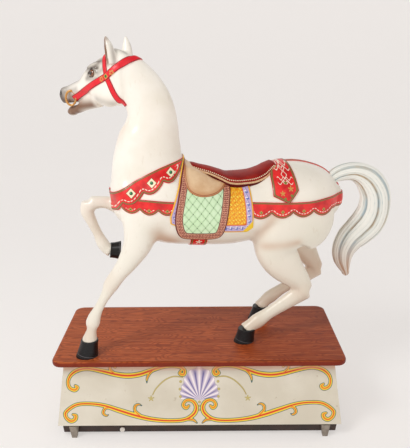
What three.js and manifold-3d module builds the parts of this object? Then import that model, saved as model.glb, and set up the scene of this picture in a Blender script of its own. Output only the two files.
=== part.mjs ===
// A carved and painted carousel horse on its display plinth.
// Millimetres, +Z up. The horse faces -X and stands by its three lowered hooves on the deck.
import * as THREE from 'three';
import { mergeVertices } from 'three/addons/utils/BufferGeometryUtils.js';
import Module from 'manifold-3d';

const wasm = await Module();
wasm.setup();

// Clearance between pieces that touch.
const GAP = 0.3;
// Welds corners closer than this, so that cuts leave no slivers.
const WELD = 0.05;

// The plinth, from the floor up: four tapered feet, a recessed rail frame, a hollow box whose
// four panels lean outward towards the floor, and an oak deck with round corners.
const FOOT = { height: 61, top: 38, bottom: 22, inset: [553, 265] };
const RAIL = { floorGap: 5, height: 61, halfX: 612, halfY: 245, lean: 6, wall: 22 };
const BOX = { height: 286, halfX: 583, halfY: 247, lean: 37, wall: 18 };
const DECK = { length: 1260, width: 585, thickness: 26, corner: 45, bevel: 8 };
const CAP = { radius: 11, height: 6, x: -345, z: 20 };

const boxFloor = RAIL.floorGap + RAIL.height;
const boxTop = boxFloor + BOX.height;
const deckTop = boxTop + DECK.thickness;

// The horse stands askew on the deck, with its head end nearer to the front edge.
const YAW = 10;
const STANCE = [0, -30];
// The head is turned to the horse's far side, about a pivot where it meets the neck.
const HEAD_TURN = -40;
const HEAD_PIVOT = [-300, 0, 0];
// How far carved straps, saddle cloths and the saddle stand up from the coat.
const STRAP_RISE = 5;
const CLOTH_RISE = 9;
const PAD_RISE = 12;
const SADDLE_RISE = 15;
// The crupper strap runs from the cantle over the top of the rump to the tail.
const CRUPPER_HALF_WIDTH = 9;
// Outlines of straps and cloths run this far to both sides, past the whole horse.
const CUT_REACH = 400;
// Widths of the two rings in a domed end, as shares of the end ring.
const DOME = [0.55, 0.88];
// The tail's lengthwise grooves: how deep they are, and how far they turn from ring to ring.
const LOCK_DEPTH = 0.09;
const LOCK_TWIST = 0.35;
// Each ear is hollowed by a smaller copy of itself, moved forward.
const EAR_HOLLOW = { forward: -13, size: 0.62 };
// The glass eyes sit this far proud of the skull.
const EYE = { x: -116, y: 57, z: 1190, radius: 13, proud: 4 };

const PAINT = {
  coat: { color: '#f4efe2', roughness: 0.35, metalness: 0 },
  wood: { color: '#a5614a', roughness: 0.45, metalness: 0 },
  panel: { color: '#d9d2c4', roughness: 0.55, metalness: 0 },
  rail: { color: '#2a1510', roughness: 0.6, metalness: 0 },
  foot: { color: '#8f8478', roughness: 0.6, metalness: 0 },
  cap: { color: '#f2f0ea', roughness: 0.4, metalness: 0 },
  eye: { color: '#4a2a18', roughness: 0.05, metalness: 0 },
};

const group = new THREE.Group();

// ---------- solids ----------

function toManifold(geometry) {
  const bare = geometry.index ? geometry.toNonIndexed() : geometry.clone();
  for (const name of Object.keys(bare.attributes)) {
    if (name !== 'position') bare.deleteAttribute(name);
  }
  const merged = mergeVertices(bare, 1e-3);
  return new wasm.Manifold(new wasm.Mesh({
    numProp: 3,
    vertProperties: new Float32Array(merged.attributes.position.array),
    triVerts: new Uint32Array(merged.index.array),
  }));
}

function toGeometry(solid) {
  const mesh = solid.getMesh();
  const geometry = new THREE.BufferGeometry();
  geometry.setAttribute('position', new THREE.BufferAttribute(mesh.vertProperties, 3));
  geometry.setIndex(new THREE.BufferAttribute(mesh.triVerts, 1));
  const welded = mergeVertices(geometry, WELD);
  const kept = [];
  for (let i = 0; i < welded.index.count; i += 3) {
    const [a, b, c] = [0, 1, 2].map((k) => welded.index.getX(i + k));
    if (a !== b && b !== c && c !== a) kept.push(a, b, c);
  }
  welded.setIndex(kept);
  return welded;
}

function addPiece(name, geometry, paint) {
  const mesh = new THREE.Mesh(geometry, new THREE.MeshStandardMaterial(paint));
  mesh.name = name;
  group.add(mesh);
  return mesh;
}

function union(solids) {
  return solids.reduce((sum, next) => sum.add(next));
}

// ---------- lofts ----------

// Catmull-Rom value between b and c.
function glide(a, b, c, d, t) {
  const t2 = t * t;
  const t3 = t2 * t;
  return 0.5 * (2 * b + (c - a) * t + (2 * a - 5 * b + 4 * c - d) * t2
    + (3 * b - a - 3 * c + d) * t3);
}

// Adds steps between the given rings, on a smooth curve through them.
function refine(rings, steps) {
  const fine = [];
  const last = rings.length - 1;
  for (let i = 0; i < last; i++) {
    const [a, b, c, d] = [Math.max(i - 1, 0), i, i + 1, Math.min(i + 2, last)].map((k) => rings[k]);
    for (let s = 0; s < steps; s++) {
      fine.push(b.map((_, k) => glide(a[k], b[k], c[k], d[k], s / steps)));
    }
  }
  fine.push(rings[last]);
  return fine;
}

// Directions of a limb's rings: along its own curve, or all along one axis.
function directions(centres, axis) {
  return centres.map((_, i) => {
    if (axis) return new THREE.Vector3(...axis).normalize();
    const before = centres[Math.max(i - 1, 0)];
    const after = centres[Math.min(i + 1, centres.length - 1)];
    return after.clone().sub(before).normalize();
  });
}

// Points of one oval ring, square to the direction along the limb.
function ovalRing({ centre, along, depth, width, egg, twist }, sides, locks) {
  const across = new THREE.Vector3(0, 1, 0);
  across.addScaledVector(along, -across.dot(along)).normalize();
  const outer = new THREE.Vector3().crossVectors(along, across);
  const points = [];
  for (let k = 0; k < sides; k++) {
    const turn = (2 * Math.PI * k) / sides;
    const groove = locks ? 1 + LOCK_DEPTH * Math.cos(locks * turn + twist) : 1;
    const wide = width * Math.cos(turn) * (1 + egg * Math.sin(turn)) * groove;
    const deep = depth * Math.sin(turn) * groove;
    points.push(centre.clone().addScaledVector(across, wide).addScaledVector(outer, deep));
  }
  return points;
}

// Rings that close a limb's end in a dome of the given height, as a share of the end ring.
function domeRings(ring, height, sign) {
  const reach = Math.min(ring.depth, ring.width) * height;
  if (reach === 0) return [];
  const shares = sign < 0 ? DOME : [...DOME].reverse();
  return shares.map((share) => {
    const out = Math.sqrt(1 - share * share) * reach * sign;
    return {
      ...ring,
      centre: ring.centre.clone().addScaledVector(ring.along, out),
      depth: ring.depth * share,
      width: ring.width * share,
    };
  });
}

// The tip of a limb's domed end.
function pole(ring, height, sign) {
  const reach = Math.min(ring.depth, ring.width) * height;
  return ring.centre.clone().addScaledVector(ring.along, sign * reach);
}

// A limb of oval rings. Each ring is [x, y, z, depth, width, egg]: its centre, its half depth in
// the plane of the limb, its half width across, and how much wider its outer side is.
// style.ends are the heights of the two domed ends, as shares of the end ring's width.
// style.axis keeps all rings square to one direction. style.grow swells the limb.
// style.locks carves that many lengthwise grooves.
function loft(rings, style = {}) {
  const { sides = 14, steps = 2, ends = [0.6, 0.6], axis = null, grow = 0, locks = 0 } = style;
  const fine = refine(rings, steps);
  const centres = fine.map((r) => new THREE.Vector3(r[0], r[1], r[2]));
  const along = directions(centres, axis);
  const ovals = fine.map((r, i) => ({
    centre: centres[i],
    along: along[i],
    depth: r[3] + grow,
    width: r[4] + grow,
    egg: r[5] ?? 0,
    twist: LOCK_TWIST * i,
  }));
  const [first, last] = [ovals[0], ovals[ovals.length - 1]];
  const all = [...domeRings(first, ends[0], -1), ...ovals, ...domeRings(last, ends[1], 1)];
  const points = all.flatMap((oval) => ovalRing(oval, sides, locks));
  points.push(pole(first, ends[0], -1), pole(last, ends[1], 1));
  return toManifold(skin(points, sides));
}

// Joins rings of points, with the two poles last in the list.
function skin(points, sides) {
  const rows = (points.length - 2) / sides;
  const [startPole, endPole] = [points.length - 2, points.length - 1];
  const index = [];
  for (let k = 0; k < sides; k++) {
    const next = (k + 1) % sides;
    index.push(startPole, next, k);
    index.push(endPole, (rows - 1) * sides + k, (rows - 1) * sides + next);
    for (let r = 0; r < rows - 1; r++) {
      const [a, b] = [r * sides + k, r * sides + next];
      index.push(a, b, a + sides, b, b + sides, a + sides);
    }
  }
  const geometry = new THREE.BufferGeometry().setFromPoints(points);
  geometry.setIndex(index);
  return geometry;
}

// A flat outline in the horse's side plane, run through its whole width.
// Corners are given as [x, z].
function throughCut(corners) {
  const shape = new THREE.Shape(corners.map(([x, z]) => new THREE.Vector2(x, z)));
  const slab = new THREE.ExtrudeGeometry(shape, { depth: 2 * CUT_REACH, bevelEnabled: false });
  slab.translate(0, 0, -CUT_REACH);
  slab.rotateX(Math.PI / 2);
  return toManifold(slab);
}

// ---------- the horse's body ----------

const TRUNK = [
  [-303, 0, 728, 104, 88, 0],
  [-268, 0, 700, 150, 132, -0.05],
  [-205, 0, 672, 176, 158, -0.1],
  [-100, 0, 636, 182, 170, -0.1],
  [30, 0, 603, 158, 178, -0.05],
  [150, 0, 593, 147, 176, -0.05],
  [270, 0, 624, 149, 170, 0],
  [380, 0, 655, 143, 174, 0],
  [475, 0, 646, 140, 164, 0],
  [545, 0, 628, 122, 134, 0],
  [590, 0, 612, 90, 90, 0],
];

const NECK = [
  [-222, 0, 700, 150, 134, 0],
  [-218, 0, 790, 146, 124, 0.05],
  [-211, 0, 850, 140, 106, 0.12],
  [-203, 0, 905, 131, 94, 0.2],
  [-192, 0, 965, 112, 82, 0.22],
  [-193, 0, 1025, 99, 72, 0.22],
  [-212, 2, 1080, 94, 66, 0.22],
  [-245, 6, 1130, 90, 60, 0.22],
  [-285, 10, 1168, 86, 54, 0.15],
  [-322, 14, 1196, 70, 46, 0.1],
];

const SKULL = [
  [10, 0, 1160, 84, 44, 0.1],
  [-40, 0, 1156, 102, 57, 0.12],
  [-100, 0, 1138, 96, 61, 0.1],
  [-150, 0, 1128, 76, 51, -0.05],
  [-200, 0, 1109, 51, 38, -0.1],
  [-250, 0, 1097, 41, 33, -0.1],
  [-296, 0, 1083, 38, 32, 0],
];

const JAW = [
  [-130, 0, 1072, 34, 38],
  [-200, 0, 1047, 24, 27],
  [-248, 0, 1027, 19, 25],
  [-273, 0, 1023, 19, 22],
];

const TAIL = [
  [588, 0, 700, 26, 24],
  [640, 0, 730, 35, 29],
  [712, 0, 736, 42, 35],
  [776, 0, 702, 58, 40],
  [818, 0, 634, 70, 44],
  [820, 0, 560, 76, 46],
  [794, 0, 500, 80, 46],
  [752, 0, 457, 74, 43],
  [712, 0, 420, 66, 40],
  [686, 0, 372, 56, 36],
  [682, 0, 322, 43, 30],
  [698, 0, 262, 18, 15],
];

// The near side is -Y.
const NEAR_FORE = {
  upper: [
    [-238, -78, 665, 92, 62],
    [-258, -92, 585, 76, 58],
    [-278, -102, 490, 56, 48],
    [-319, -108, 414, 44, 37],
    [-358, -110, 363, 34, 31],
    [-385, -110, 329, 31, 29],
    [-410, -110, 290, 25, 25],
    [-437, -110, 248, 21, 21],
    [-462, -110, 205, 22, 21],
    [-482, -110, 162, 27, 25],
    [-493, -110, 115, 25, 25],
    [-496, -110, 72, 33, 33],
  ],
  hoof: [[-497, -110, 68, 36, 35], [-511, -110, 0, 48, 44]],
};

const FAR_FORE = {
  upper: [
    [-235, 70, 640, 84, 62],
    [-300, 84, 596, 60, 46],
    [-350, 90, 612, 36, 33],
    [-400, 91, 627, 27, 27],
    [-452, 91, 628, 30, 28],
  ],
  lower: [
    [-470, 91, 622, 33, 28],
    [-478, 91, 590, 30, 27],
    [-462, 91, 545, 24, 22],
    [-440, 91, 492, 21, 20],
    [-420, 91, 443, 27, 24],
    [-402, 91, 414, 26, 24],
    [-384, 91, 404, 30, 29],
  ],
  hoof: [[-386, 91, 405, 33, 32], [-342, 91, 402, 42, 38]],
  hoofAxis: [1, 0, -0.12],
};

const NEAR_HIND = {
  upper: [
    [412, -80, 645, 160, 74],
    [400, -92, 566, 188, 84],
    [346, -97, 498, 134, 78],
    [330, -98, 418, 94, 60],
    [370, -100, 348, 78, 50],
    [428, -100, 283, 54, 40],
    [462, -100, 234, 40, 33],
  ],
  lower: [
    [462, -100, 222, 44, 34],
    [400, -100, 184, 36, 28],
    [306, -100, 128, 28, 24],
    [250, -100, 92, 34, 28],
    [218, -100, 72, 29, 27],
    [199, -100, 54, 36, 33],
  ],
  hoof: [[199, -100, 55, 38, 35], [186, -100, 0, 46, 43]],
};

const FAR_HIND = {
  upper: [
    [425, 78, 640, 140, 74],
    [436, 90, 560, 150, 80],
    [448, 98, 480, 118, 68],
    [490, 106, 412, 82, 54],
    [542, 112, 345, 46, 38],
    [580, 116, 286, 36, 32],
    [596, 118, 250, 34, 30],
  ],
  lower: [
    [598, 118, 240, 40, 31],
    [530, 119, 196, 31, 26],
    [440, 120, 152, 26, 23],
    [372, 120, 110, 32, 27],
    [340, 120, 84, 28, 26],
    [322, 120, 60, 34, 33],
  ],
  hoof: [[322, 120, 60, 37, 35], [306, 120, 0, 45, 43]],
};

const STANDING = [0, 0, -1];
const HOOF_CROWN = 6;

function legParts(leg, grow = 0) {
  const parts = [loft(leg.upper, { sides: 12, steps: 1, grow, ends: [0, 0.6] })];
  if (leg.lower) parts.push(loft(leg.lower, { sides: 12, steps: 1, grow, ends: [0.5, 0] }));
  return parts;
}

// A hoof flares from the pastern to the sole. A standing one reaches a little up the pastern.
function hoofPart(leg) {
  const [x, y, z, depth, width] = leg.hoof[0];
  const crown = [x, y, leg.hoofAxis ? z : z + HOOF_CROWN, depth, width];
  const axis = leg.hoofAxis ?? STANDING;
  return loft([crown, leg.hoof[1]], { sides: 12, steps: 1, ends: [0, 0], axis });
}

const EAR = [
  [-20, 44, 1222, 15, 16],
  [-24, 46, 1262, 16, 20],
  [-30, 47, 1296, 11, 15],
  [-36, 47, 1320, 3, 4],
];

// How far each ear leans forward: the near one fully, the far one less.
const EAR_LEAN = { near: 1, far: 0.4 };
const EAR_LIFT = 4;

// One ear: a leaf-shaped cup, open to the front.
function earPart(side) {
  const lean = side < 0 ? EAR_LEAN.near : EAR_LEAN.far;
  const place = ([x, y, z, depth, width], shift, size) => [
    x * lean + shift, side * y, z + EAR_LIFT, depth * size, width * size,
  ];
  const { forward, size } = EAR_HOLLOW;
  const outer = loft(EAR.map((ring) => place(ring, 0, 1)), { sides: 8, ends: [0, 0.6] });
  const inner = EAR.slice(1).map((ring) => place(ring, forward, size));
  return outer.subtract(loft(inner, { sides: 6, steps: 1, ends: [0.6, 0] }));
}

// Brow ridges over the eyes and the nostril wings.
function headParts() {
  const parts = [
    loft(SKULL, { sides: 14, ends: [0, 0.75] }),
    loft(JAW, { sides: 10, steps: 1, ends: [0, 0.8] }),
    earPart(-1),
    earPart(1),
  ];
  for (const side of [-1, 1]) {
    parts.push(loft([
      [-92, side * 40, 1212, 14, 14],
      [-118, side * 44, 1206, 20, 16],
      [-144, side * 38, 1190, 12, 12],
    ], { sides: 8, steps: 1 }));
    parts.push(loft([
      [-272, side * 20, 1110, 12, 12],
      [-294, side * 22, 1104, 15, 12],
    ], { sides: 6, steps: 1 }));
  }
  return parts;
}

function turnHead(solid) {
  const geometry = toGeometry(solid);
  geometry.rotateZ(THREE.MathUtils.degToRad(HEAD_TURN));
  return toManifold(geometry.translate(...HEAD_PIVOT));
}

// ---------- carved saddlery ----------

const LOBE_STEPS = 4;

// Edge points of a hanging border whose lower side runs in round lobes.
function lobes(start, end, count, drop) {
  const edge = [];
  for (let i = 0; i <= count * LOBE_STEPS; i++) {
    const t = i / (count * LOBE_STEPS);
    const dip = drop * Math.abs(Math.sin(Math.PI * count * t));
    edge.push([start[0] + (end[0] - start[0]) * t, start[1] + (end[1] - start[1]) * t - dip]);
  }
  return edge;
}

const COLLAR_TOP = [[-60, 838], [-73, 833], [-176, 807], [-258, 772], [-317, 735], [-400, 690]];
const COLLAR_TIP = [[-400, 610], [-344, 636]];

function collarOutline() {
  return [...COLLAR_TOP, ...COLLAR_TIP, ...lobes([-325, 672], [-84, 800], 3, 22)];
}

function breastOutline() {
  return [[-120, 676], [-262, 690], [-340, 680], [-400, 672], [-400, 650],
    ...lobes([-335, 652], [-120, 640], 3, 20)];
}

function rumpBandOutline() {
  return [[700, 664], [632, 661], [533, 658], [451, 651], [357, 652], [190, 656],
    ...lobes([190, 608], [560, 605], 4, 22), [640, 604], [700, 596]];
}

const SHIELD = [[314, 810], [384, 812], [398, 699], [357, 646], [288, 677], [288, 746]];

const PAD = [[-60, 850], [-98, 747], [-125, 626], [-116, 556], [-102, 528], [-61, 514],
  [52, 511], [74, 530], [84, 560], [130, 745], [140, 850]];

const BLANKET = [[-90, 830], [-154, 668], [-154, 588], [-120, 560], [60, 541], [176, 535],
  [203, 556], [203, 830]];

const SKIRT = [[-52, 860], [-72, 800], [-78, 752], [-61, 718], [-28, 699], [7, 694], [42, 704],
  [72, 726], [106, 739], [150, 740], [216, 743], [276, 762], [316, 800], [316, 860]];

const GIRTH = [[-56, 540], [-50, 400], [20, 400], [12, 540]];

const SEAT = [
  [-50, 0, 792, 24, 40],
  [-36, 0, 786, 36, 84],
  [10, 0, 757, 36, 118],
  [80, 0, 733, 32, 134],
  [160, 0, 724, 30, 134],
  [225, 0, 726, 30, 128],
  [280, 0, 748, 30, 112],
  [318, 0, 778, 28, 88],
  [334, 0, 796, 12, 56],
];

function saddlery() {
  const coat = (grow) => union([
    loft(TRUNK, { sides: 18, grow, ends: [0.4, 0.6] }),
    loft(NECK.slice(0, 4), { sides: 16, grow, ends: [0, 0] }),
    ...[NEAR_FORE, FAR_FORE, NEAR_HIND, FAR_HIND].map((leg) => (
      loft(leg.upper.slice(0, 3), { sides: 12, steps: 1, grow, ends: [0, 0] })
    )),
  ]);
  const crupper = new THREE.BoxGeometry(340, 2 * CRUPPER_HALF_WIDTH, 260).translate(470, 0, 760);
  const straps = union([
    throughCut(collarOutline()),
    throughCut(breastOutline()),
    throughCut(rumpBandOutline()),
    throughCut(SHIELD),
    throughCut(GIRTH),
    toManifold(crupper),
  ]);
  const barrel = (grow) => loft(TRUNK, { sides: 18, grow, ends: [0.4, 0.6] });
  return [
    coat(STRAP_RISE).intersect(straps),
    barrel(CLOTH_RISE).intersect(throughCut(BLANKET)),
    barrel(PAD_RISE).intersect(throughCut(PAD)),
    barrel(SADDLE_RISE).intersect(throughCut(SKIRT)),
    loft(SEAT, { sides: 14, steps: 1, ends: [0.5, 0.5] }),
  ];
}

function horseSolid() {
  const body = union([
    loft(TRUNK, { sides: 18, ends: [0.4, 0.6] }),
    loft(NECK, { sides: 14, ends: [0, 0.6] }),
    loft(TAIL, { sides: 15, locks: 5, ends: [0, 1.6] }),
    turnHead(union(headParts())),
    ...[NEAR_FORE, FAR_FORE, NEAR_HIND, FAR_HIND].flatMap((leg) => [...legParts(leg), hoofPart(leg)]),
    ...saddlery(),
  ]);
  // The three lowered hooves are cut flat where they stand.
  const belowDeck = toManifold(new THREE.BoxGeometry(3000, 3000, 400).translate(0, 0, -200));
  return body.subtract(belowDeck);
}

// Glass eyes, let into the sides of the head in shallow sockets.
function eyeBall(side, radius) {
  const ball = new THREE.SphereGeometry(radius, 10, 6);
  ball.translate(EYE.x, side * (EYE.y - EYE.radius + EYE.proud), EYE.z);
  return turnHead(toManifold(ball));
}

// ---------- the plinth ----------

// One side of a frame whose outer face leans: mitred at both ends, wider at the bottom by lean.
// The side runs along X at -Y, from z low to z high.
function frameSide(halfX, halfY, lean, wall, low, high) {
  const geometry = new THREE.BoxGeometry(2, 2, 2);
  const position = geometry.attributes.position;
  for (let i = 0; i < position.count; i++) {
    const [sx, sy, sz] = [position.getX(i), position.getY(i), position.getZ(i)];
    const spread = sz > 0 ? 0 : lean;
    const depth = sy < 0 ? 0 : wall;
    const x = sx * (halfX + spread - depth - GAP / 2);
    position.setXYZ(i, x, -(halfY + spread - depth), sz > 0 ? high : low);
  }
  return geometry;
}

function addFrame(name, size, lean, low, high, paint) {
  const sides = [['front', 0], ['right', 90], ['back', 180], ['left', 270]];
  for (const [side, turn] of sides) {
    const across = turn % 180 === 0;
    const [along, out] = across ? [size.halfX, size.halfY] : [size.halfY, size.halfX];
    const geometry = frameSide(along, out, lean, size.wall, low, high);
    geometry.rotateZ(THREE.MathUtils.degToRad(turn));
    addPiece(`${name}_${side}`, geometry, paint);
  }
}

function deckGeometry() {
  const [halfX, halfY] = [DECK.length / 2 - DECK.bevel, DECK.width / 2 - DECK.bevel];
  const corner = DECK.corner - DECK.bevel;
  const shape = new THREE.Shape();
  const corners = [[1, 1, 0], [-1, 1, 90], [-1, -1, 180], [1, -1, 270]];
  for (const [sx, sy, start] of corners) {
    const from = THREE.MathUtils.degToRad(start);
    shape.absarc(sx * (halfX - corner), sy * (halfY - corner), corner, from, from + Math.PI / 2);
  }
  const geometry = new THREE.ExtrudeGeometry(shape, {
    depth: DECK.thickness - 2 * DECK.bevel,
    bevelSize: DECK.bevel,
    bevelThickness: DECK.bevel,
    bevelSegments: 2,
    curveSegments: 3,
  });
  return geometry.translate(0, 0, boxTop + DECK.bevel);
}

function footGeometry(x, y) {
  const [top, bottom] = [FOOT.top / Math.SQRT2, FOOT.bottom / Math.SQRT2];
  const geometry = new THREE.CylinderGeometry(top, bottom, FOOT.height, 4);
  geometry.rotateY(Math.PI / 4);
  geometry.rotateX(Math.PI / 2);
  return geometry.translate(x, y, FOOT.height / 2);
}

function addPlinth() {
  addPiece('deck', deckGeometry(), PAINT.wood);
  addFrame('plinth_panel', BOX, BOX.lean, boxFloor + GAP, boxTop - GAP, PAINT.panel);
  // The rails lean the other way, narrower at the bottom.
  addFrame('plinth_rail', RAIL, -RAIL.lean, RAIL.floorGap, boxFloor, PAINT.rail);
  const [footX, footY] = FOOT.inset;
  const corners = [
    ['front_left', -1, -1],
    ['front_right', 1, -1],
    ['back_left', -1, 1],
    ['back_right', 1, 1],
  ];
  for (const [name, sx, sy] of corners) {
    addPiece(`foot_${name}`, footGeometry(sx * footX, sy * footY), PAINT.foot);
  }
  // The cap's upper edge touches the rail, which leans away below it.
  const drop = boxFloor - CAP.z - CAP.radius;
  const railFace = RAIL.halfY - (RAIL.lean * drop) / RAIL.height;
  const cap = new THREE.CylinderGeometry(CAP.radius, CAP.radius, CAP.height, 12);
  addPiece('rail_cap', cap.translate(CAP.x, -railFace - CAP.height / 2 - GAP, CAP.z), PAINT.cap);
}

// ---------- assembly ----------

function stand(solid) {
  const geometry = toGeometry(solid);
  geometry.rotateZ(THREE.MathUtils.degToRad(YAW));
  return geometry.translate(...STANCE, deckTop + GAP);
}

addPlinth();
const sockets = eyeBall(-1, EYE.radius + GAP).add(eyeBall(1, EYE.radius + GAP));
addPiece('horse', stand(horseSolid().subtract(sockets)), PAINT.coat);
addPiece('eye_left', stand(eyeBall(-1, EYE.radius)), PAINT.eye);
addPiece('eye_right', stand(eyeBall(1, EYE.radius)), PAINT.eye);

// The origin is on the floor under the middle of the whole object's box.
const bounds = new THREE.Box3().setFromObject(group);
const middle = bounds.getCenter(new THREE.Vector3());
for (const mesh of group.children) {
  mesh.geometry.translate(-middle.x, -middle.y, -bounds.min.z);
}

export default group;
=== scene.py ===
"""A carved and painted carousel horse on its display plinth. Metres, +Z up; the horse faces -X."""
import math

import bpy
import numpy as np
import openvdb
from mathutils import Matrix, Vector


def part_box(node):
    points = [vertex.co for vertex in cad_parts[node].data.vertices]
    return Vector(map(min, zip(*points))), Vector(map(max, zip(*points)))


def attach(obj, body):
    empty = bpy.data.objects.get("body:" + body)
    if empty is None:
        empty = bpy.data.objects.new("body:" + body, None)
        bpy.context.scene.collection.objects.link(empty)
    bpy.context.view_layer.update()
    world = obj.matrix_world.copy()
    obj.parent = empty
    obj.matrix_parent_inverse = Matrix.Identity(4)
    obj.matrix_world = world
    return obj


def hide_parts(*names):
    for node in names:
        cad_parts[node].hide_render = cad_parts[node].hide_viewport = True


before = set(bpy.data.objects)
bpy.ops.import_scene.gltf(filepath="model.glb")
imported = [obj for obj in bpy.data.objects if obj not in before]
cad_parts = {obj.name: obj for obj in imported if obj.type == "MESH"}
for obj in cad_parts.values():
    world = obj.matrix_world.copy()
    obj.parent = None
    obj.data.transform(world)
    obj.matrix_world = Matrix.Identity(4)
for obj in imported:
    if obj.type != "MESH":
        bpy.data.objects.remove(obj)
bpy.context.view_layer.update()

# The horse's own frame: its hooves stand at height 0, it faces -X and its near side is -Y.
YAW = math.radians(10)
deck_low, deck_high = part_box("deck")
MIDDLE = np.array([(deck_low.x + deck_high.x) / 2, 0, deck_high.z])
STANCE = MIDDLE + np.array([0, -0.030, 0.0003])     # towards the near side, a hair above the deck
# The head's own frame: turned to the far side about a pivot at the top of the neck.
HEAD_TURN = math.radians(-40)
HEAD_PIVOT = np.array([-0.300, 0, 0])
NEAR, FAR = -1, 1


def turned(points, angle):
    """Points turned about the upright axis."""
    c, s = math.cos(angle), math.sin(angle)
    return np.asarray(points) @ np.array([[c, s, 0], [-s, c, 0], [0, 0, 1]])


def from_head(points):
    """Points of the head's frame in the horse's frame."""
    return turned(points, HEAD_TURN) + HEAD_PIVOT


def to_head(points):
    """Points of the horse's frame in the head's frame."""
    return turned(np.asarray(points) - HEAD_PIVOT, -HEAD_TURN)


def on_deck(points):
    """Points of the horse's frame in the part's frame."""
    return turned(points, YAW) + STANCE


# ---------- rings and lofts ----------
# Each ring is x, y, z, half depth, half width and egg, in millimetres.

TRUNK = [
    (-303, 0, 728, 104, 88, 0), (-268, 0, 700, 150, 132, -.05), (-205, 0, 672, 176, 158, -.1),
    (-100, 0, 636, 182, 170, -.1), (30, 0, 597, 152, 178, -.05), (150, 0, 586, 140, 176, -.05),
    (270, 0, 612, 139, 170, 0), (380, 0, 655, 143, 174, 0), (475, 0, 646, 140, 164, 0),
    (545, 0, 628, 122, 134, 0), (590, 0, 612, 90, 90, 0)]
NECK = [
    (-222, 0, 700, 150, 134, 0), (-218, 0, 790, 146, 124, .05), (-211, 0, 850, 140, 106, .12),
    (-203, 0, 905, 131, 94, .2), (-192, 0, 965, 112, 82, .22), (-193, 0, 1025, 99, 72, .22),
    (-212, 2, 1080, 94, 66, .22), (-245, 6, 1130, 90, 60, .22), (-285, 10, 1168, 86, 54, .15),
    (-322, 14, 1196, 70, 46, .1)]
SKULL = [
    (10, 0, 1160, 84, 44, .1), (-40, 0, 1156, 102, 57, .12), (-100, 0, 1138, 96, 60, .1),
    (-150, 0, 1128, 76, 51, -.05), (-200, 0, 1109, 51, 38, -.1), (-250, 0, 1097, 41, 33, -.1),
    (-298, 0, 1082, 38, 33, 0), (-310, 0, 1077, 36, 32, 0)]
JAW = [
    (-130, 0, 1072, 34, 38), (-200, 0, 1047, 24, 27), (-248, 0, 1027, 19, 25),
    (-276, 0, 1021, 18, 22)]
EAR = [
    (-22, 42, 1212, 20, 20), (-28, 45, 1246, 23, 21), (-34, 47, 1279, 19, 17),
    (-41, 48, 1306, 9, 9), (-45, 48, 1318, 3, 3)]
TAIL = [
    (588, 0, 700, 26, 24), (640, 0, 730, 35, 29), (712, 0, 736, 42, 35),
    (776, 0, 702, 58, 40), (816, 0, 634, 69, 44), (818, 0, 560, 75, 46),
    (794, 0, 500, 80, 46), (752, 0, 457, 74, 43), (712, 0, 420, 66, 40),
    (686, 0, 372, 56, 36), (682, 0, 322, 43, 30), (698, 0, 262, 18, 15)]
LEGS = {
    "near_fore": {
        "upper": [
            (-238, -78, 665, 92, 62), (-250, -92, 585, 82, 58), (-274, -102, 490, 62, 50),
            (-319, -108, 414, 44, 37), (-354, -110, 370, 35, 32), (-380, -110, 336, 33, 31),
            (-396, -110, 312, 32, 30), (-412, -110, 282, 24, 24), (-432, -110, 248, 20, 20),
            (-454, -110, 208, 21, 21), (-470, -110, 176, 27, 25), (-479, -110, 148, 30, 27),
            (-484, -110, 122, 21, 22), (-490, -110, 98, 25, 25), (-496, -110, 72, 33, 33)],
        "hoof": [(-497, -110, 68, 36, 35), (-511, -110, 0, 48, 44)]},
    "far_fore": {
        "upper": [
            (-235, 70, 640, 84, 62), (-300, 84, 596, 60, 46), (-350, 90, 612, 36, 33),
            (-400, 91, 627, 27, 27), (-452, 91, 628, 30, 28)],
        "lower": [
            (-470, 91, 622, 33, 28), (-478, 91, 590, 30, 27), (-462, 91, 545, 24, 22),
            (-440, 91, 492, 21, 20), (-420, 91, 443, 27, 24), (-402, 91, 414, 26, 24),
            (-384, 91, 404, 30, 29)],
        "hoof": [(-386, 91, 405, 33, 32), (-342, 91, 402, 42, 38)],
        "axis": (1, 0, -.12)},
    "near_hind": {
        "upper": [
            (412, -80, 645, 160, 74), (400, -92, 566, 188, 84), (346, -97, 498, 134, 78),
            (330, -98, 418, 94, 60), (370, -100, 348, 78, 50), (428, -100, 283, 54, 40),
            (462, -100, 234, 40, 33)],
        "lower": [
            (462, -100, 222, 44, 34), (400, -100, 184, 36, 28), (306, -100, 128, 28, 24),
            (250, -100, 92, 34, 28), (218, -100, 72, 29, 27), (199, -100, 54, 36, 33)],
        "hoof": [(199, -100, 55, 38, 35), (186, -100, 0, 46, 43)]},
    "far_hind": {
        "upper": [
            (425, 78, 640, 140, 74), (436, 90, 560, 150, 80), (446, 98, 480, 122, 68),
            (480, 106, 412, 96, 56), (530, 112, 345, 62, 44), (572, 116, 286, 42, 34),
            (596, 118, 250, 34, 30)],
        "lower": [
            (598, 118, 240, 40, 31), (530, 119, 196, 31, 26), (440, 120, 152, 26, 23),
            (372, 120, 110, 32, 27), (340, 120, 84, 28, 26), (322, 120, 60, 34, 33)],
        "hoof": [(322, 120, 60, 37, 35), (306, 120, 0, 45, 43)]}}
# The saddle's seat, from the pommel back to the cantle.
SEAT = [
    (-52, 0, 788, 20, 40), (-30, 0, 785, 23, 50), (0, 0, 775, 24, 54), (40, 0, 762, 27, 64),
    (83, 0, 743, 31, 82), (117, 0, 727, 35, 97), (152, 0, 722, 38, 104), (195, 0, 724, 37, 105),
    (239, 0, 729, 37, 102), (282, 0, 746, 34, 92), (308, 0, 766, 29, 78), (330, 0, 786, 18, 60)]


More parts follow.
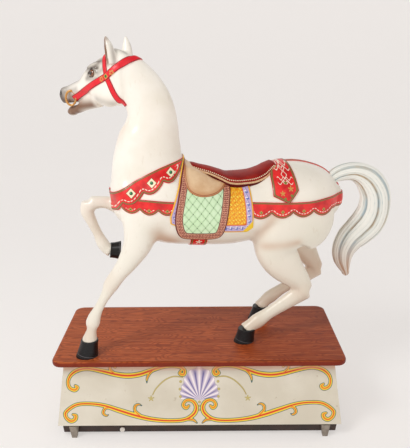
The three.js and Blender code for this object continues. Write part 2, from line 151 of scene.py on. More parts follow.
def through(points, steps):
    """More points on a smooth curve through the given ones."""
    points = np.array(points, float)
    last = len(points) - 1
    fine = []
    for i in range(last):
        a, b, c, d = points[max(i - 1, 0)], points[i], points[i + 1], points[min(i + 2, last)]
        for t in np.arange(steps) / steps:
            fine.append(0.5 * (2 * b + (c - a) * t + (2 * a - 5 * b + 4 * c - d) * t ** 2
                               + (3 * b - a - 3 * c + d) * t ** 3))
    return np.array(fine + [points[-1]])


def refined(rings, steps):
    """Rings on a smooth curve through the given ones, in metres."""
    fine = through([tuple(r) + (0,) * (6 - len(r)) for r in rings], steps)
    fine[:, :5] *= 0.001
    return fine


def around(sides):
    """Angles evenly round a circle."""
    return math.tau * np.arange(sides) / sides


def capped(faces, rows, sides):
    """A tube's faces with its ends closed round two middle points that follow its rows."""
    k = np.arange(sides)
    nxt = (k + 1) % sides
    last, ends = (rows - 1) * sides, rows * sides
    return np.concatenate([faces, np.stack([np.full(sides, ends), nxt, k], 1),
                           np.stack([np.full(sides, ends + 1), last + k, last + nxt], 1)])


def loft(rings, sides=40, steps=8, ends=(0.6, 0.6), axis=None, swell=None):
    """A closed limb of oval rings with domed ends: its points and triangles.
    swell(turn, share) gives how much wider than its oval each ring is at each turn."""
    fine = refined(rings, steps)
    if axis is None:
        along = np.gradient(fine[:, :3], axis=0)
    else:
        along = np.tile(np.array(axis, float), (len(fine), 1))
    along /= np.linalg.norm(along, axis=1)[:, None]
    form = fine[:, :3], fine[:, 3], fine[:, 4], fine[:, 5], along
    dome = np.sin(np.linspace(0.08, 0.92, 6) * math.pi / 2)
    for end, sign in ((0, -1), (-1, 1)):
        centre, depth, width, egg, along = form
        reach = min(depth[end], width[end]) * ends[end]
        shares = dome[::-sign]
        out = sign * np.sqrt(1 - shares ** 2) * reach
        cap = (centre[end] + along[end] * out[:, None], depth[end] * shares, width[end] * shares,
               np.full(len(dome), egg[end]), np.tile(along[end], (len(dome), 1)))
        form = [np.concatenate((new, old)[::-sign]) for new, old in zip(cap, form)]
    centre, depth, width, egg, along = form
    across = np.array([0.0, 1.0, 0.0]) - along * along[:, 1:2]
    across /= np.linalg.norm(across, axis=1)[:, None]
    outer = np.cross(along, across)
    turn = around(sides)
    share = np.linspace(0, 1, len(centre))[:, None]
    scale = 1 if swell is None else swell(turn[None, :], share)
    wide = width[:, None] * np.cos(turn) * (1 + egg[:, None] * np.sin(turn)) * scale
    deep = depth[:, None] * np.sin(turn) * scale
    points = centre[:, None] + across[:, None] * wide[..., None] + outer[:, None] * deep[..., None]
    rows = len(centre)
    poles = [points[0].mean(0), points[-1].mean(0)]
    points = np.concatenate([points.reshape(-1, 3), poles])
    k = np.arange(sides)
    nxt = (k + 1) % sides
    r = (np.arange(rows - 1) * sides)[:, None]
    low, low_nxt, high, high_nxt = r + k, r + nxt, r + k + sides, r + nxt + sides
    faces = [np.stack([corner.ravel() for corner in tri], 1)
             for tri in ((low, low_nxt, high), (low_nxt, high_nxt, high))]
    return points, capped(np.concatenate(faces), rows, sides)


# ---------- carving ----------

class Block:
    """A block of wood kept as distances to its surface: below zero is inside."""

    REACH = 12

    def __init__(self, low, high, cell):
        self.cell = cell
        self.low = np.floor(np.array(low) / cell).astype(int)
        self.shape = tuple(np.ceil(np.array(high) / cell).astype(int) - self.low + 1)
        self.far = self.REACH * cell
        self.depth = np.full(self.shape, self.far, np.float32)
        self.axes = [(np.arange(n) + l) * cell for n, l in zip(self.shape, self.low)]

    def solid(self, points, faces):
        """Distances to a closed surface."""
        grid = openvdb.FloatGrid.createLevelSetFromPolygons(
            points.astype(np.float32), triangles=faces.astype(np.uint32),
            transform=openvdb.createLinearTransform(voxelSize=self.cell),
            halfWidth=float(self.REACH))
        values = np.full(self.shape, self.far, np.float32)
        grid.copyToArray(values, ijk=tuple(int(v) for v in self.low))
        return values

    def oval(self, places, form, side):
        """Distances to an ellipsoid of the tables below, on one side of the horse."""
        centre, radii, lean, _ = form
        x, y, z = [p - c for p, c in zip(places, (centre[0], side * centre[1], centre[2]))]
        c, s = math.cos(lean), math.sin(lean)
        x, z = c * x + s * z, c * z - s * x
        near = np.sqrt((x / radii[0]) ** 2 + (y / radii[1]) ** 2 + (z / radii[2]) ** 2)
        steep = np.sqrt((x / radii[0] ** 2) ** 2 + (y / radii[1] ** 2) ** 2
                        + (z / radii[2] ** 2) ** 2) + 1e-6
        return np.clip(near * (near - 1) / steep, -self.far, self.far).astype(np.float32)

    def work(self, tool, places, forms, sides):
        """Joins or carves a table of ellipsoids, on each of the sides."""
        for form in forms:
            for side in sides:
                tool(self.oval(places, form, side), form[3])

    def join(self, other, blend):
        """Adds wood, with a hollow of the given radius where the two meet."""
        share = np.clip(0.5 + 0.5 * (other - self.depth) / blend, 0, 1)
        self.depth = other + (self.depth - other) * share - blend * share * (1 - share)

    def carve(self, other, blend):
        """Takes wood away, with the rim rounded."""
        self.depth = -self.depth
        self.join(other, blend)
        self.depth = -self.depth

    def surface(self):
        """The carved surface as points, their normals and triangles."""
        grid = openvdb.FloatGrid(self.far)
        grid.copyFromArray(self.depth, ijk=tuple(int(v) for v in self.low), tolerance=0.0)
        grid.transform = openvdb.createLinearTransform(voxelSize=self.cell)
        grid.gridClass = openvdb.GridClass.LEVEL_SET
        points, threes, fours = grid.convertToPolygons(isovalue=0.0, adaptivity=0.0)
        faces = np.concatenate([threes.reshape(-1, 3), fours[:, [0, 1, 2]], fours[:, [0, 2, 3]]])
        points = points.astype(float)
        for _ in range(3):
            points -= 0.8 * self.at(points)[:, None] * self.slope(points)
        return points, self.slope(points), faces[:, ::-1].astype(int)

    def at(self, points):
        """Distances at any points, read between the cells."""
        where = np.clip(points / self.cell - self.low, 0, np.array(self.shape) - 1.001)
        base = where.astype(int)
        t = where - base
        total = 0.0
        for corner in range(8):
            step = np.array([corner >> 2 & 1, corner >> 1 & 1, corner & 1])
            weight = np.prod(np.where(step, t, 1 - t), axis=1)
            total = total + weight * self.depth[tuple((base + step).T)]
        return total

    def slope(self, points):
        """The direction straight out of the surface."""
        step = 0.7 * self.cell
        out = np.stack([self.at(points + step * axis) - self.at(points - step * axis)
                        for axis in np.eye(3)], 1)
        return out / (np.linalg.norm(out, axis=1)[:, None] + 1e-9)


HEAD_FLOOR = 0.985     # above this height the head and upper neck are carved finer than the rest
BODY_CELL, HEAD_CELL = 0.0088, 0.0041
# Swellings and hollows, the same on both sides: centre, radii, lean in the side plane, blend.
BODY_SWELLS = [
    ((-0.300, 0.060, 0.690), (0.050, 0.070, 0.075), 0.5, 0.03),   # breast muscles
    ((-0.175, 0.130, 0.670), (0.050, 0.028, 0.090), -0.5, 0.05),  # shoulder
]
BODY_HOLLOWS = [
    ((-0.345, 0.0, 0.640), (0.035, 0.012, 0.090), 0.5, 0.02),     # between the breast muscles
    ((0.605, 0.0, 0.560), (0.040, 0.012, 0.110), 0.1, 0.03),      # under the tail
    ((0.262, 0.176, 0.520), (0.050, 0.018, 0.012), 0.75, 0.02),   # flank, in front of the thigh
]
# For the head, in the head's own frame.
HEAD_SWELLS = [
    ((-0.048, 0.030, 1.103), (0.070, 0.032, 0.058), 0.2, 0.010),   # cheek
    ((-0.120, 0.040, 1.209), (0.036, 0.015, 0.010), 0.40, 0.008),  # brow
    ((-0.185, 0.030, 1.118), (0.060, 0.008, 0.007), 0.25, 0.012),  # bone below the eye
    ((-0.302, 0.019, 1.099), (0.021, 0.017, 0.019), 0.2, 0.008),   # nostril wing
    ((-0.290, 0.012, 1.062), (0.024, 0.018, 0.010), 0.1, 0.008),   # upper lip
    ((-0.280, 0.000, 1.014), (0.020, 0.020, 0.014), 0.0, 0.010),   # chin
    ((-0.119, 0.045, 1.177), (0.030, 0.016, 0.022), 0.30, 0.007),  # lids
    ((-0.020, 0.000, 1.238), (0.050, 0.026, 0.026), -0.45, 0.020),  # forelock
]
HEAD_HOLLOWS = [
    ((-0.316, 0.030, 1.094), (0.011, 0.016, 0.008), 0.8, 0.004),   # nostril
    ((-0.290, 0.000, 1.0455), (0.060, 0.040, 0.005), 0.07, 0.003),  # mouth
    ((-0.119, 0.062, 1.177), (0.0228, 0.022, 0.0150), 0.30, 0.003),  # eye socket
    ((-0.075, 0.060, 1.226), (0.022, 0.010, 0.014), 0.4, 0.016),   # temple
    ((-0.200, 0.044, 1.088), (0.050, 0.010, 0.012), 0.15, 0.014),  # behind the mouth
]


def neck_and_trunk(block):
    """The barrel and neck, common to both blocks so that they meet exactly."""
    block.join(block.solid(*loft(TRUNK, sides=72, ends=(0.4, 0.6))), 0.001)
    block.join(block.solid(*loft(NECK, sides=64, ends=(0, 0.6))), 0.045)


def carved_body():
    block = Block((-0.56, -0.23, -0.02), (0.66, 0.23, HEAD_FLOOR + 0.03), BODY_CELL)
    neck_and_trunk(block)
    for name, leg in LEGS.items():
        upper = block.solid(*loft(leg["upper"], sides=48, ends=(0, 0.6)))
        block.join(upper, 0.034 if "fore" in name else 0.026)
        if "lower" in leg:
            block.join(block.solid(*loft(leg["lower"], sides=40, ends=(0.5, 0))), 0.016)
    places = np.meshgrid(*block.axes, indexing="ij", sparse=True)
    block.work(block.join, places, BODY_SWELLS, (NEAR, FAR))
    block.work(block.carve, places, BODY_HOLLOWS, (NEAR, FAR))
    return block


def carved_head():
    block = Block((-0.57, -0.13, HEAD_FLOOR - 0.03), (-0.05, 0.29, 1.36), HEAD_CELL)
    neck_and_trunk(block)
    grid = to_head(np.stack(np.meshgrid(*block.axes, indexing="ij"), -1).reshape(-1, 3))
    places = [grid[:, k].reshape(block.shape).astype(np.float32) for k in range(3)]

    def piece(rings, **style):
        points, faces = loft(rings, **style)
        return block.solid(from_head(points), faces)

    block.join(piece(SKULL, sides=56, ends=(0, 0.75)), 0.028)
    block.join(piece(JAW, sides=40, ends=(0, 0.8)), 0.012)
    for side in (NEAR, FAR):
        block.work(block.join, places, HEAD_SWELLS, [side])
        block.work(block.carve, places, HEAD_HOLLOWS, [side])
        # The ears are pricked, and the hollow of each one is carved towards its front.
        prick, ahead, out = (1, 13, 15) if side == NEAR else (0.4, 15, 4)
        ear = [(x * prick, side * y, z + 4, d, w) for x, y, z, d, w in EAR]
        block.join(piece(ear, sides=40, ends=(0, 0.6)), 0.012)
        hollow = [(x - ahead, y + out * side, z + 2, 0.60 * d, 0.55 * w)
                  for x, y, z, d, w in ear[:4]]
        block.carve(piece(hollow, sides=32, ends=(1.2, 0.6)), 0.004)
    return block


def split(points, faces, cut, share):
    """Splits the marked edges of triangles, at a share of their length or in the middle.
    cut marks each triangle's edges 0-1, 1-2 and 2-0; both triangles at an edge mark it."""
    if not cut.any():
        return points, faces
    ends = np.sort(np.stack([faces[cut], np.roll(faces, -1, axis=1)[cut]], 1), axis=1)
    edges, index = np.unique(ends, axis=0, return_inverse=True)
    at = np.full(len(edges), 0.5) if share is None else share(edges)
    fresh = points[edges[:, 0]] * (1 - at)[:, None] + points[edges[:, 1]] * at[:, None]
    middle = np.full(faces.shape, -1)
    middle[cut] = len(points) + index.reshape(-1)
    made = [faces[~cut.any(1)]]
    for count in (1, 2, 3):
        rows = cut.sum(1) == count
        first = cut[rows].argmax(1) if count == 1 else (~cut[rows]).argmax(1) + 1
        pick = (first[:, None] + np.arange(3)) % 3
        p, q, r = np.take_along_axis(faces[rows], pick, 1).T
        u, v, w = np.take_along_axis(middle[rows], pick, 1).T
        corners = {1: [(p, u, r), (u, q, r)], 2: [(u, q, v), (p, u, v), (p, v, r)],
                   3: [(p, u, w), (u, q, v), (w, v, r), (u, v, w)]}[count]
        made += [np.stack(c, 1) for c in corners]
    return np.concatenate([points, fresh]), np.concatenate(made)


def cut_along(points, faces, values):
    """Splits triangles where a value crosses zero, so that edges follow that line."""
    values = np.where(np.abs(values) < 2e-4, 0.0, values)
    crossing = np.sign(values)[faces] * np.sign(values)[np.roll(faces, -1, axis=1)] < 0
    return split(points, faces, crossing,
                 lambda e: values[e[:, 0]] / (values[e[:, 0]] - values[e[:, 1]]))


def kept(points, faces, values):
    """The part of a surface where a value is above zero."""
    both, faces = cut_along(np.concatenate([points, values[:, None]], 1), faces, values)
    return both[:, :-1], faces[both[:, -1][faces].mean(1) > 0]


def edges_of(faces):
    """The three edges of each triangle, each with its lower point first."""
    return np.sort(np.concatenate([faces[:, [0, 1]], faces[:, [1, 2]], faces[:, [2, 0]]]), axis=1)


def rim(points, faces, height):
    """Points round an open edge near a height, in order round the neck."""
    edges, count = np.unique(edges_of(faces), axis=0, return_counts=True)
    loop = np.unique(edges[count == 1])
    loop = loop[np.abs(points[loop, 2] - height) < 1e-3]
    centre = points[loop, :2].mean(0)
    angle = np.arctan2(points[loop, 1] - centre[1], points[loop, 0] - centre[0])
    order = np.argsort(angle)
    return loop[order], angle[order]


def joined(body, head):
    """Body and head surfaces, closed by a thin strip where they meet."""
    gap = 0.002
    low, low_faces = kept(np.concatenate(body[:2], 1), body[2], HEAD_FLOOR - gap - body[0][:, 2])
    high, high_faces = kept(np.concatenate(head[:2], 1), head[2], head[0][:, 2] - HEAD_FLOOR - gap)
    ring_a, angle_a = rim(low, low_faces, HEAD_FLOOR - gap)
    ring_b, angle_b = rim(high, high_faces, HEAD_FLOOR + gap)
    ring_b = ring_b + len(low)
    angle_a, angle_b = [np.append(turn, turn[0] + math.tau) for turn in (angle_a, angle_b)]
    filled, i, j = [], 0, 0
    while i < len(ring_a) or j < len(ring_b):
        a, b = ring_a[i % len(ring_a)], ring_b[j % len(ring_b)]
        if j >= len(ring_b) or (i < len(ring_a) and angle_a[i + 1] < angle_b[j + 1]):
            i += 1
            filled.append((a, ring_a[i % len(ring_a)], b))
        else:
            j += 1
            filled.append((a, ring_b[j % len(ring_b)], b))
    return (np.concatenate([low, high]),
            np.concatenate([low_faces, high_faces + len(low), np.array(filled)]))


# ---------- saddlery ----------
# Outlines in the side plane, in millimetres: of the body, or of the head in its own frame.

def curve(points):
    """A smooth line through points."""
    return [tuple(v) for v in through(points, 6)]


def lobes(start, end, count, drop, steps=12):
    """A line that hangs in round lobes between two points."""
    t = np.linspace(0, 1, count * steps + 1)
    dip = drop * np.abs(np.sin(math.pi * count * t)) ** 0.8
    return [(start[0] + (end[0] - start[0]) * s, start[1] + (end[1] - start[1]) * s - d)
            for s, d in zip(t, dip)]


def strip(start, end, half):
    """A straight strap between two points."""
    a, b = np.array(start, float), np.array(end, float)
    n = np.array([a[1] - b[1], b[0] - a[0]]) / np.linalg.norm(b - a) * half
    return [tuple(a + n), tuple(a - n), tuple(b - n), tuple(b + n)]


COLLAR = (curve([(-60, 838), (-73, 833), (-176, 807), (-258, 772), (-317, 735), (-400, 690)])
          + [(-400, 610), (-344, 636)] + lobes((-325, 672), (-84, 800), 3, 22))
BREAST_BAND = (curve([(-120, 676), (-262, 690), (-340, 680), (-400, 672)]) + [(-400, 650)]
               + lobes((-335, 652), (-120, 640), 3, 20))
RUMP_BAND = (curve([(700, 664), (632, 661), (533, 658), (451, 651), (357, 652), (190, 656)])
             + lobes((190, 608), (560, 605), 4, 22) + [(640, 604), (700, 596)])
SHIELD = [(320, 830), (380, 830), (398, 699), (357, 646), (291, 677), (293, 746)]
PAD = curve([(-60, 850), (-98, 747), (-118, 660), (-125, 612), (-122, 572), (-108, 535), (-84, 517),
             (-40, 512), (20, 510), (52, 514), (70, 527), (84, 560), (105, 650), (130, 745),
             (140, 850)])
BLANKET = [(-62, 860), (-103, 747), (-131, 660), (-145, 618), (-143, 586), (-118, 574), (60, 541),
           (178, 535), (203, 552), (203, 850)]
SKIRT = curve([(-52, 880), (-70, 820), (-79, 765), (-68, 716), (-32, 690), (14, 683), (60, 690),
               (100, 712), (130, 734), (150, 741), (216, 744), (276, 764), (316, 802), (320, 880)])
GIRTH = [(-56, 540), (-50, 400), (20, 400), (12, 540)]
CROSSING = (-40, 1168)
CHEEK_STRAP = [(-252, 1083), (-242, 1060), (-34, 1156), (98, 1268), (80, 1288), (-46, 1180)]
BROW_BAND = strip(CROSSING, (-84, 1272), 10)
THROAT_STRAP = strip(CROSSING, (16, 1050), 11)


def inside(places, line):
    """How far 2-D places are inside a closed line: negative outside."""
    corners = np.array(line) * 0.001
    best = np.full(len(places), np.inf)
    odd = np.zeros(len(places), bool)
    for p, q in zip(corners, np.roll(corners, -1, 0)):
        e = q - p
        if not e.any():
            continue
        w = places - p
        t = np.clip((w @ e) / (e @ e), 0, 1)
        best = np.minimum(best, ((w - t[:, None] * e) ** 2).sum(1))
        if p[1] != q[1]:
            odd ^= ((p[1] > places[:, 1]) != (q[1] > places[:, 1])) & (
                places[:, 0] < e[0] * w[:, 1] / e[1] + p[0])
    return np.where(odd, 1, -1) * np.sqrt(best)


def on_body(line, low=0.35):
    """A layer of the body. It stops where the raised foreleg leaves the chest."""
    def measure(points):
        deep = np.full(len(points), -1.0)
        near = (points[:, 2] > low) & (points[:, 2] < HEAD_FLOOR)
        x, y = points[near, 0], points[near, 1]
        chest = x + 0.305 + 2.5 * np.maximum(0.075 - y, 0)
        deep[near] = np.minimum(inside(points[near][:, [0, 2]], line), chest)
        return deep
    return measure


def on_head(line):
    """A layer of the head."""
    def measure(points):
        deep = np.full(len(points), -1.0)
        near = points[:, 2] > HEAD_FLOOR + 0.01
        deep[near] = inside(to_head(points[near, :3])[:, [0, 2]], line)
        return deep
    return measure


def crupper(points):
    """The strap along the top of the rump, from the cantle to the tail."""
    x, y, z = points[:, :3].T
    return np.minimum.reduce([0.013 - np.abs(y), x - 0.29, 0.66 - x, z - 0.64])


# From the lowest to the uppermost: name, how far inside, and how far it stands up in metres.
SADDLERY = [
    ("girth", on_body(GIRTH), 0.004), ("breast_band", on_body(BREAST_BAND), 0.0045),
    ("rump_band", on_body(RUMP_BAND, 0.5), 0.0045), ("crupper", crupper, 0.004),
    ("shield", on_body(SHIELD, 0.6), 0.007), ("collar", on_body(COLLAR, 0.55), 0.0055),
    ("blanket", on_body(BLANKET, 0.48), 0.006), ("pad", on_body(PAD, 0.45), 0.0105),
    ("skirt", on_body(SKIRT, 0.6), 0.015), ("throat_strap", on_head(THROAT_STRAP), 0.0035),
    ("brow_band", on_head(BROW_BAND), 0.0035), ("cheek_strap", on_head(CHEEK_STRAP), 0.0045)]
SKIRT_LAYER = 1 + [name for name, _, _ in SADDLERY].index("skirt")
SHOULDER = 0.0035     # the rims of straps are rounded over this width
FINE = 0.005          # the surface is split finer this near to an outline
BARE = 0.05           # the depth stored where there is only the coat


def dressed(points, faces):
    """Carves the saddlery in relief. Returns points, faces, the layer of each face, how many faces
    come before the walls, and for each point where it lay on the coat and how deep in its layer."""
    close = np.min([np.abs(measure(points)) for _, measure, _ in SADDLERY], axis=0) < FINE
    points, faces = split(points, faces, close[faces] | close[np.roll(faces, -1, axis=1)], None)
    for _, measure, _ in SADDLERY:
        points, faces = cut_along(points, faces, measure(points))
    layer = np.zeros(len(faces), int)
    depth = np.full((len(points), len(SADDLERY) + 1), BARE)
    for number, (_, measure, _) in enumerate(SADDLERY, 1):
        depth[:, number] = measure(points)
        layer[depth[faces, number].mean(1) > 0] = number
    corner, back = np.unique(np.stack([faces, np.repeat(layer[:, None], 3, 1)], -1).reshape(-1, 2),
                             axis=0, return_inverse=True)
    back = back.reshape(faces.shape)
    deep = np.maximum(depth[corner[:, 0], corner[:, 1]], 0)
    rise = np.array([0.0] + [height for _, _, height in SADDLERY])[corner[:, 1]]
    rise *= 0.72 + 0.28 * np.minimum(deep / SHOULDER, 1)
    places, out = points[corner[:, 0], :3], points[corner[:, 0], 3:]
    # Under the seat, along the middle of the back, the skirts are thin.
    away = np.clip((np.abs(places[:, 1]) - 0.035) / 0.045, 0.15, 1)
    rise = np.where(corner[:, 1] == SKIRT_LAYER, rise * away, rise)
    out = out / np.linalg.norm(out, axis=1)[:, None]
    walls, wall_layer = rims(faces, back, layer)
    return (places + out * rise[:, None], np.concatenate([back, walls]),
            np.concatenate([layer, wall_layer]), len(back), places, deep)


def rims(faces, back, layer):
    """The walls where two layers meet, of the upper layer's finish."""
    starts, top_start = faces.T.ravel(), back.T.ravel()
    stops, top_stop = [np.roll(f, -1, axis=1).T.ravel() for f in (faces, back)]
    owner = np.tile(layer, 3)
    size = faces.max() + 1
    key, mate = starts * size + stops, stops * size + starts
    order = np.argsort(key)
    other = order[np.searchsorted(key[order], mate)]
    meet = owner > owner[other]
    a, b, c, d = top_start[meet], top_stop[meet], top_start[other[meet]], top_stop[other[meet]]
    return (np.concatenate([np.stack([b, a, d], 1), np.stack([b, d, c], 1)]),
            np.tile(owner[meet], 2))


# ---------- paint ----------

def tint(mixed):
    """A paint colour from one given as red, green and blue on a 0 to 255 scale."""
    return tuple((v / 255 / 12.92 if v <= 10 else ((v / 255 + 0.055) / 1.055) ** 2.4)
                 for v in mixed) + (1.0,)


class Wire:
    """A number that varies over a surface."""

    def __init__(self, paint, socket):
        self.paint, self.socket = paint, socket

    def __add__(self, other):
        return self.paint.sum("ADD", self, other)

    def __sub__(self, other):
        return self.paint.sum("SUBTRACT", self, other)

    def __mul__(self, other):
        return self.paint.sum("MULTIPLY", self, other)

    def __truediv__(self, other):
        return self.paint.sum("DIVIDE", self, other)

    def __rsub__(self, other):
        return self.paint.sum("SUBTRACT", other, self)

    def __rtruediv__(self, other):
        return self.paint.sum("DIVIDE", other, self)

    __radd__, __rmul__ = __add__, __mul__

    def __abs__(self):
        return self.paint.sum("ABSOLUTE", self)

    def least(self, other):
        return self.paint.sum("MINIMUM", self, other)

    def most(self, other):
        return self.paint.sum("MAXIMUM", self, other)

    def wave(self):
        return self.paint.sum("SINE", self)

    def swing(self, low, high):
        """Back and forth between two numbers, as a zigzag of slope 1."""
        return self.paint.sum("PINGPONG", self - low, high - low) + low

    def edge(self, soft):
        """0 below zero and 1 above it, with a soft step between."""
        return self.paint.sum("MULTIPLY_ADD", self, 0.5 / soft, 0.5, use_clamp=True)


class Paint:
    """One finish: its colour is laid on in coats over a Principled shader."""

    def __init__(self, name, base, rough=0.4, gloss=0.0, shine=None):
        base = tint(base)
        self.material = bpy.data.materials.new(name)
        self.material.use_nodes = True
        self.tree = self.material.node_tree
        self.tree.nodes.clear()
        self.surface = self.node("BsdfPrincipled", {}, {
            "Base Color": base, "Roughness": rough, "Coat Weight": gloss, "Coat Roughness": 0.12})
        if shine is not None:
            self.surface.inputs["Specular IOR Level"].default_value = shine
        self.node("OutputMaterial", {}, {"Surface": self.surface.outputs[0]})
        self.colour = base

    def node(self, kind, settings, sockets):
        """Any node, by its type, its settings, and the values or links of its sockets."""
        made = self.tree.nodes.new("ShaderNode" + kind)
        for key, value in settings.items():
            setattr(made, key, value)
        for key, value in sockets.items():
            self.feed(made.inputs[key], value)
        return made

    def feed(self, socket, value):
        value = value.socket if isinstance(value, Wire) else value
        if isinstance(value, bpy.types.NodeSocket):
            self.tree.links.new(value, socket)
        else:
            socket.default_value = value

    def sum(self, operation, *values, use_clamp=False):
        settings = {"operation": operation, "use_clamp": use_clamp}
        return Wire(self, self.node("Math", settings, dict(enumerate(values))).outputs[0])

    def place(self, name=None):
        """The three numbers of a stored place, or of the piece's own, and the place itself."""
        if name:
            vector = self.node("Attribute", {"attribute_name": name}, {}).outputs["Vector"]
        else:
            vector = self.node("TexCoord", {}, {}).outputs["Object"]
        parts = self.node("SeparateXYZ", {}, {0: vector})
        return [Wire(self, parts.outputs[k]) for k in range(3)] + [vector]

    def measure(self, name):
        """A stored number."""
        return Wire(self, self.node("Attribute", {"attribute_name": name}, {}).outputs["Fac"])

    def stretched(self, vector, scale):
        return self.node("Mapping", {}, {"Vector": vector, "Scale": scale}).outputs[0]

    def noise(self, vector, scale, detail=3.0, rough=0.55):
        made = self.node("TexNoise", {}, {"Vector": vector, "Scale": scale, "Detail": detail,
                                          "Roughness": rough})
        return Wire(self, made.outputs["Fac"])

    def cover(self, colour, mask):
        """Lays a colour over the finish where the mask is 1."""
        layers = {0: mask, 6: self.colour, 7: tint(colour)}
        made = self.node("Mix", {"data_type": "RGBA"}, layers)
        self.colour = made.outputs[2]
        self.feed(self.surface.inputs["Base Color"], self.colour)

    def roughen(self, wire):
        self.feed(self.surface.inputs["Roughness"], wire)

    def emboss(self, wire, distance, strength=1.0):
        """Raises the surface by the wire times a distance."""
        bump = self.node("Bump", {}, {"Height": wire, "Distance": distance, "Strength": strength})
        self.feed(self.surface.inputs["Normal"], bump.outputs[0])


LINE = 0.0005      # how soft the edge of a painted line is

CREAM, OLIVE, GOLD = (246, 236, 214), (118, 92, 44), (206, 150, 70)


def stripe(value, middle, half):
    """1 where a value is within half of the middle."""
    return (half - abs(value - middle)).edge(LINE)


def lozenge(x, z, place, half_x, half_z):
    return (1.0 - abs(x - place[0]) / half_x - abs(z - place[1]) / half_z).edge(LINE / half_x)


def disc(x, z, place, radius):
    dx, dz = x - place[0], z - place[1]
    return (radius * radius - dx * dx - dz * dz).edge(LINE * radius * 2)


def star(paint, x, z, place, radius):
    """A five-pointed star."""
    dx, dz = x - place[0], z - place[1]
    turn = paint.sum("ARCTAN2", dx, dz) * 5.0
    reach = paint.sum("SQRT", dx * dx + dz * dz)
    return (radius * (0.66 + 0.34 * paint.sum("COSINE", turn)) - reach).edge(LINE)


# ---------- pieces ----------

def mesh_piece(name, points, faces, materials=(), which=None, smooth=True):
    """A Blender object from points and faces, in the part's frame."""
    mesh = bpy.data.meshes.new(name)
    mesh.from_pydata(np.asarray(points, float).tolist(), [], [list(map(int, f)) for f in faces])
    for material in materials:
        mesh.materials.append(material)
    if which is not None:
        mesh.polygons.foreach_set("material_index", np.asarray(which, np.int32))
    mesh.polygons.foreach_set("use_smooth", np.full(len(mesh.polygons), smooth))
    mesh.update()
    piece = bpy.data.objects.new(name, mesh)
    bpy.context.scene.collection.objects.link(piece)
    return piece


def ball(radii, rings=10, sides=16, low=0.0):
    """A ball with its pole up the Z axis, from the share low of the way up its south pole."""
    rise = np.linspace(low * math.pi, math.pi, rings + 1)
    turn = around(sides)
    points = np.stack([np.sin(rise)[:, None] * np.cos(turn), np.sin(rise)[:, None] * np.sin(turn),
                       np.broadcast_to(-np.cos(rise)[:, None], (rings + 1, sides))], -1)
    return points.reshape(-1, 3) * radii, tube_faces(rings + 1, sides, closed=False)


def tube_faces(rows, sides, closed):
    """Triangles between rows of points; closed joins the last row to the first."""
    k = np.arange(sides)
    nxt = (k + 1) % sides
    faces = []
    for r in range(rows if closed else rows - 1):
        here, there = r * sides, (r + 1) % rows * sides
        faces += [np.stack([here + k, here + nxt, there + nxt], 1),
                  np.stack([here + k, there + nxt, there + k], 1)]
    return np.concatenate(faces)


def rod(path, radius, sides, closed=False):
    """A round rod bent along a path of points."""
    path = np.asarray(path, float)
    along = np.roll(path, -1, 0) - np.roll(path, 1, 0) if closed else np.gradient(path, axis=0)
    along /= np.linalg.norm(along, axis=1)[:, None]
    guide = np.array([0.13, 0.21, 0.97]) if closed else np.array([0.05, 0.99, 0.1])
    across = np.cross(along, guide)
    across /= np.linalg.norm(across, axis=1)[:, None]
    outer = np.cross(across, along)
    turn = around(sides)
    points = path[:, None] + radius * (across[:, None] * np.cos(turn)[:, None]
                                       + outer[:, None] * np.sin(turn)[:, None])
    faces = tube_faces(len(path), sides, closed)
    points = points.reshape(-1, 3)
    if closed:
        return points, faces
    return np.concatenate([points, path[[0, -1]]]), capped(faces, len(path), sides)


def facing(points, place, out):
    """Points turned so that their Z axis points out, and moved to a place."""
    turn = Vector(out).to_track_quat("Z", "Y").to_matrix()
    return np.asarray(points) @ np.array(turn).T + np.asarray(place)


def merged(parts):
    """Several surfaces as one."""
    starts = np.cumsum([0] + [len(points) for points, _ in parts])
    return (np.concatenate([points for points, _ in parts]),
            np.concatenate([faces + start for (_, faces), start in zip(parts, starts)]))


def tail_locks(turn, share):
    """Carved hair: deep locks that wind down the tail, each cut into finer strands."""
    wind = 6.5 * share + 0.5 * np.sin(5 * share)
    lock = np.abs(np.sin((7 * turn + wind) / 2))
    strand = np.abs(np.sin((23 * turn + 2.6 * wind + 1.2 * np.sin(9 * share + turn)) / 2))
    fade = np.clip(share / 0.10, 0, 1)
    return 1 + fade * (0.12 * (lock ** 0.6 - 0.78) + 0.065 * (strand ** 0.6 - 0.6))


def seat_line(turn):
    """Points along the seat at one turn of its rings, from pommel to cantle."""
    fine = refined(SEAT, 6)
    along = np.gradient(fine[:, :3], axis=0)
    along /= np.linalg.norm(along, axis=1)[:, None]
    across = np.array([0.0, 1.0, 0.0])
    wide, deep = fine[:, 4:5] * math.cos(turn), fine[:, 3:4] * math.sin(turn)
    return fine[:, :3] + across * wide + np.cross(along, across) * deep


# ---------- the horse's finishes ----------

def layer_paint(name, base, rough, gloss, place="coat_place", shine=None):
    """A finish of one layer: its paint, where each place is along and up, how far inside the
    layer's edge it is, and the place itself."""
    paint = Paint(name, base, rough, gloss, shine)
    x, _, z, where = paint.place(place)
    return paint, x, z, paint.measure("deep"), where


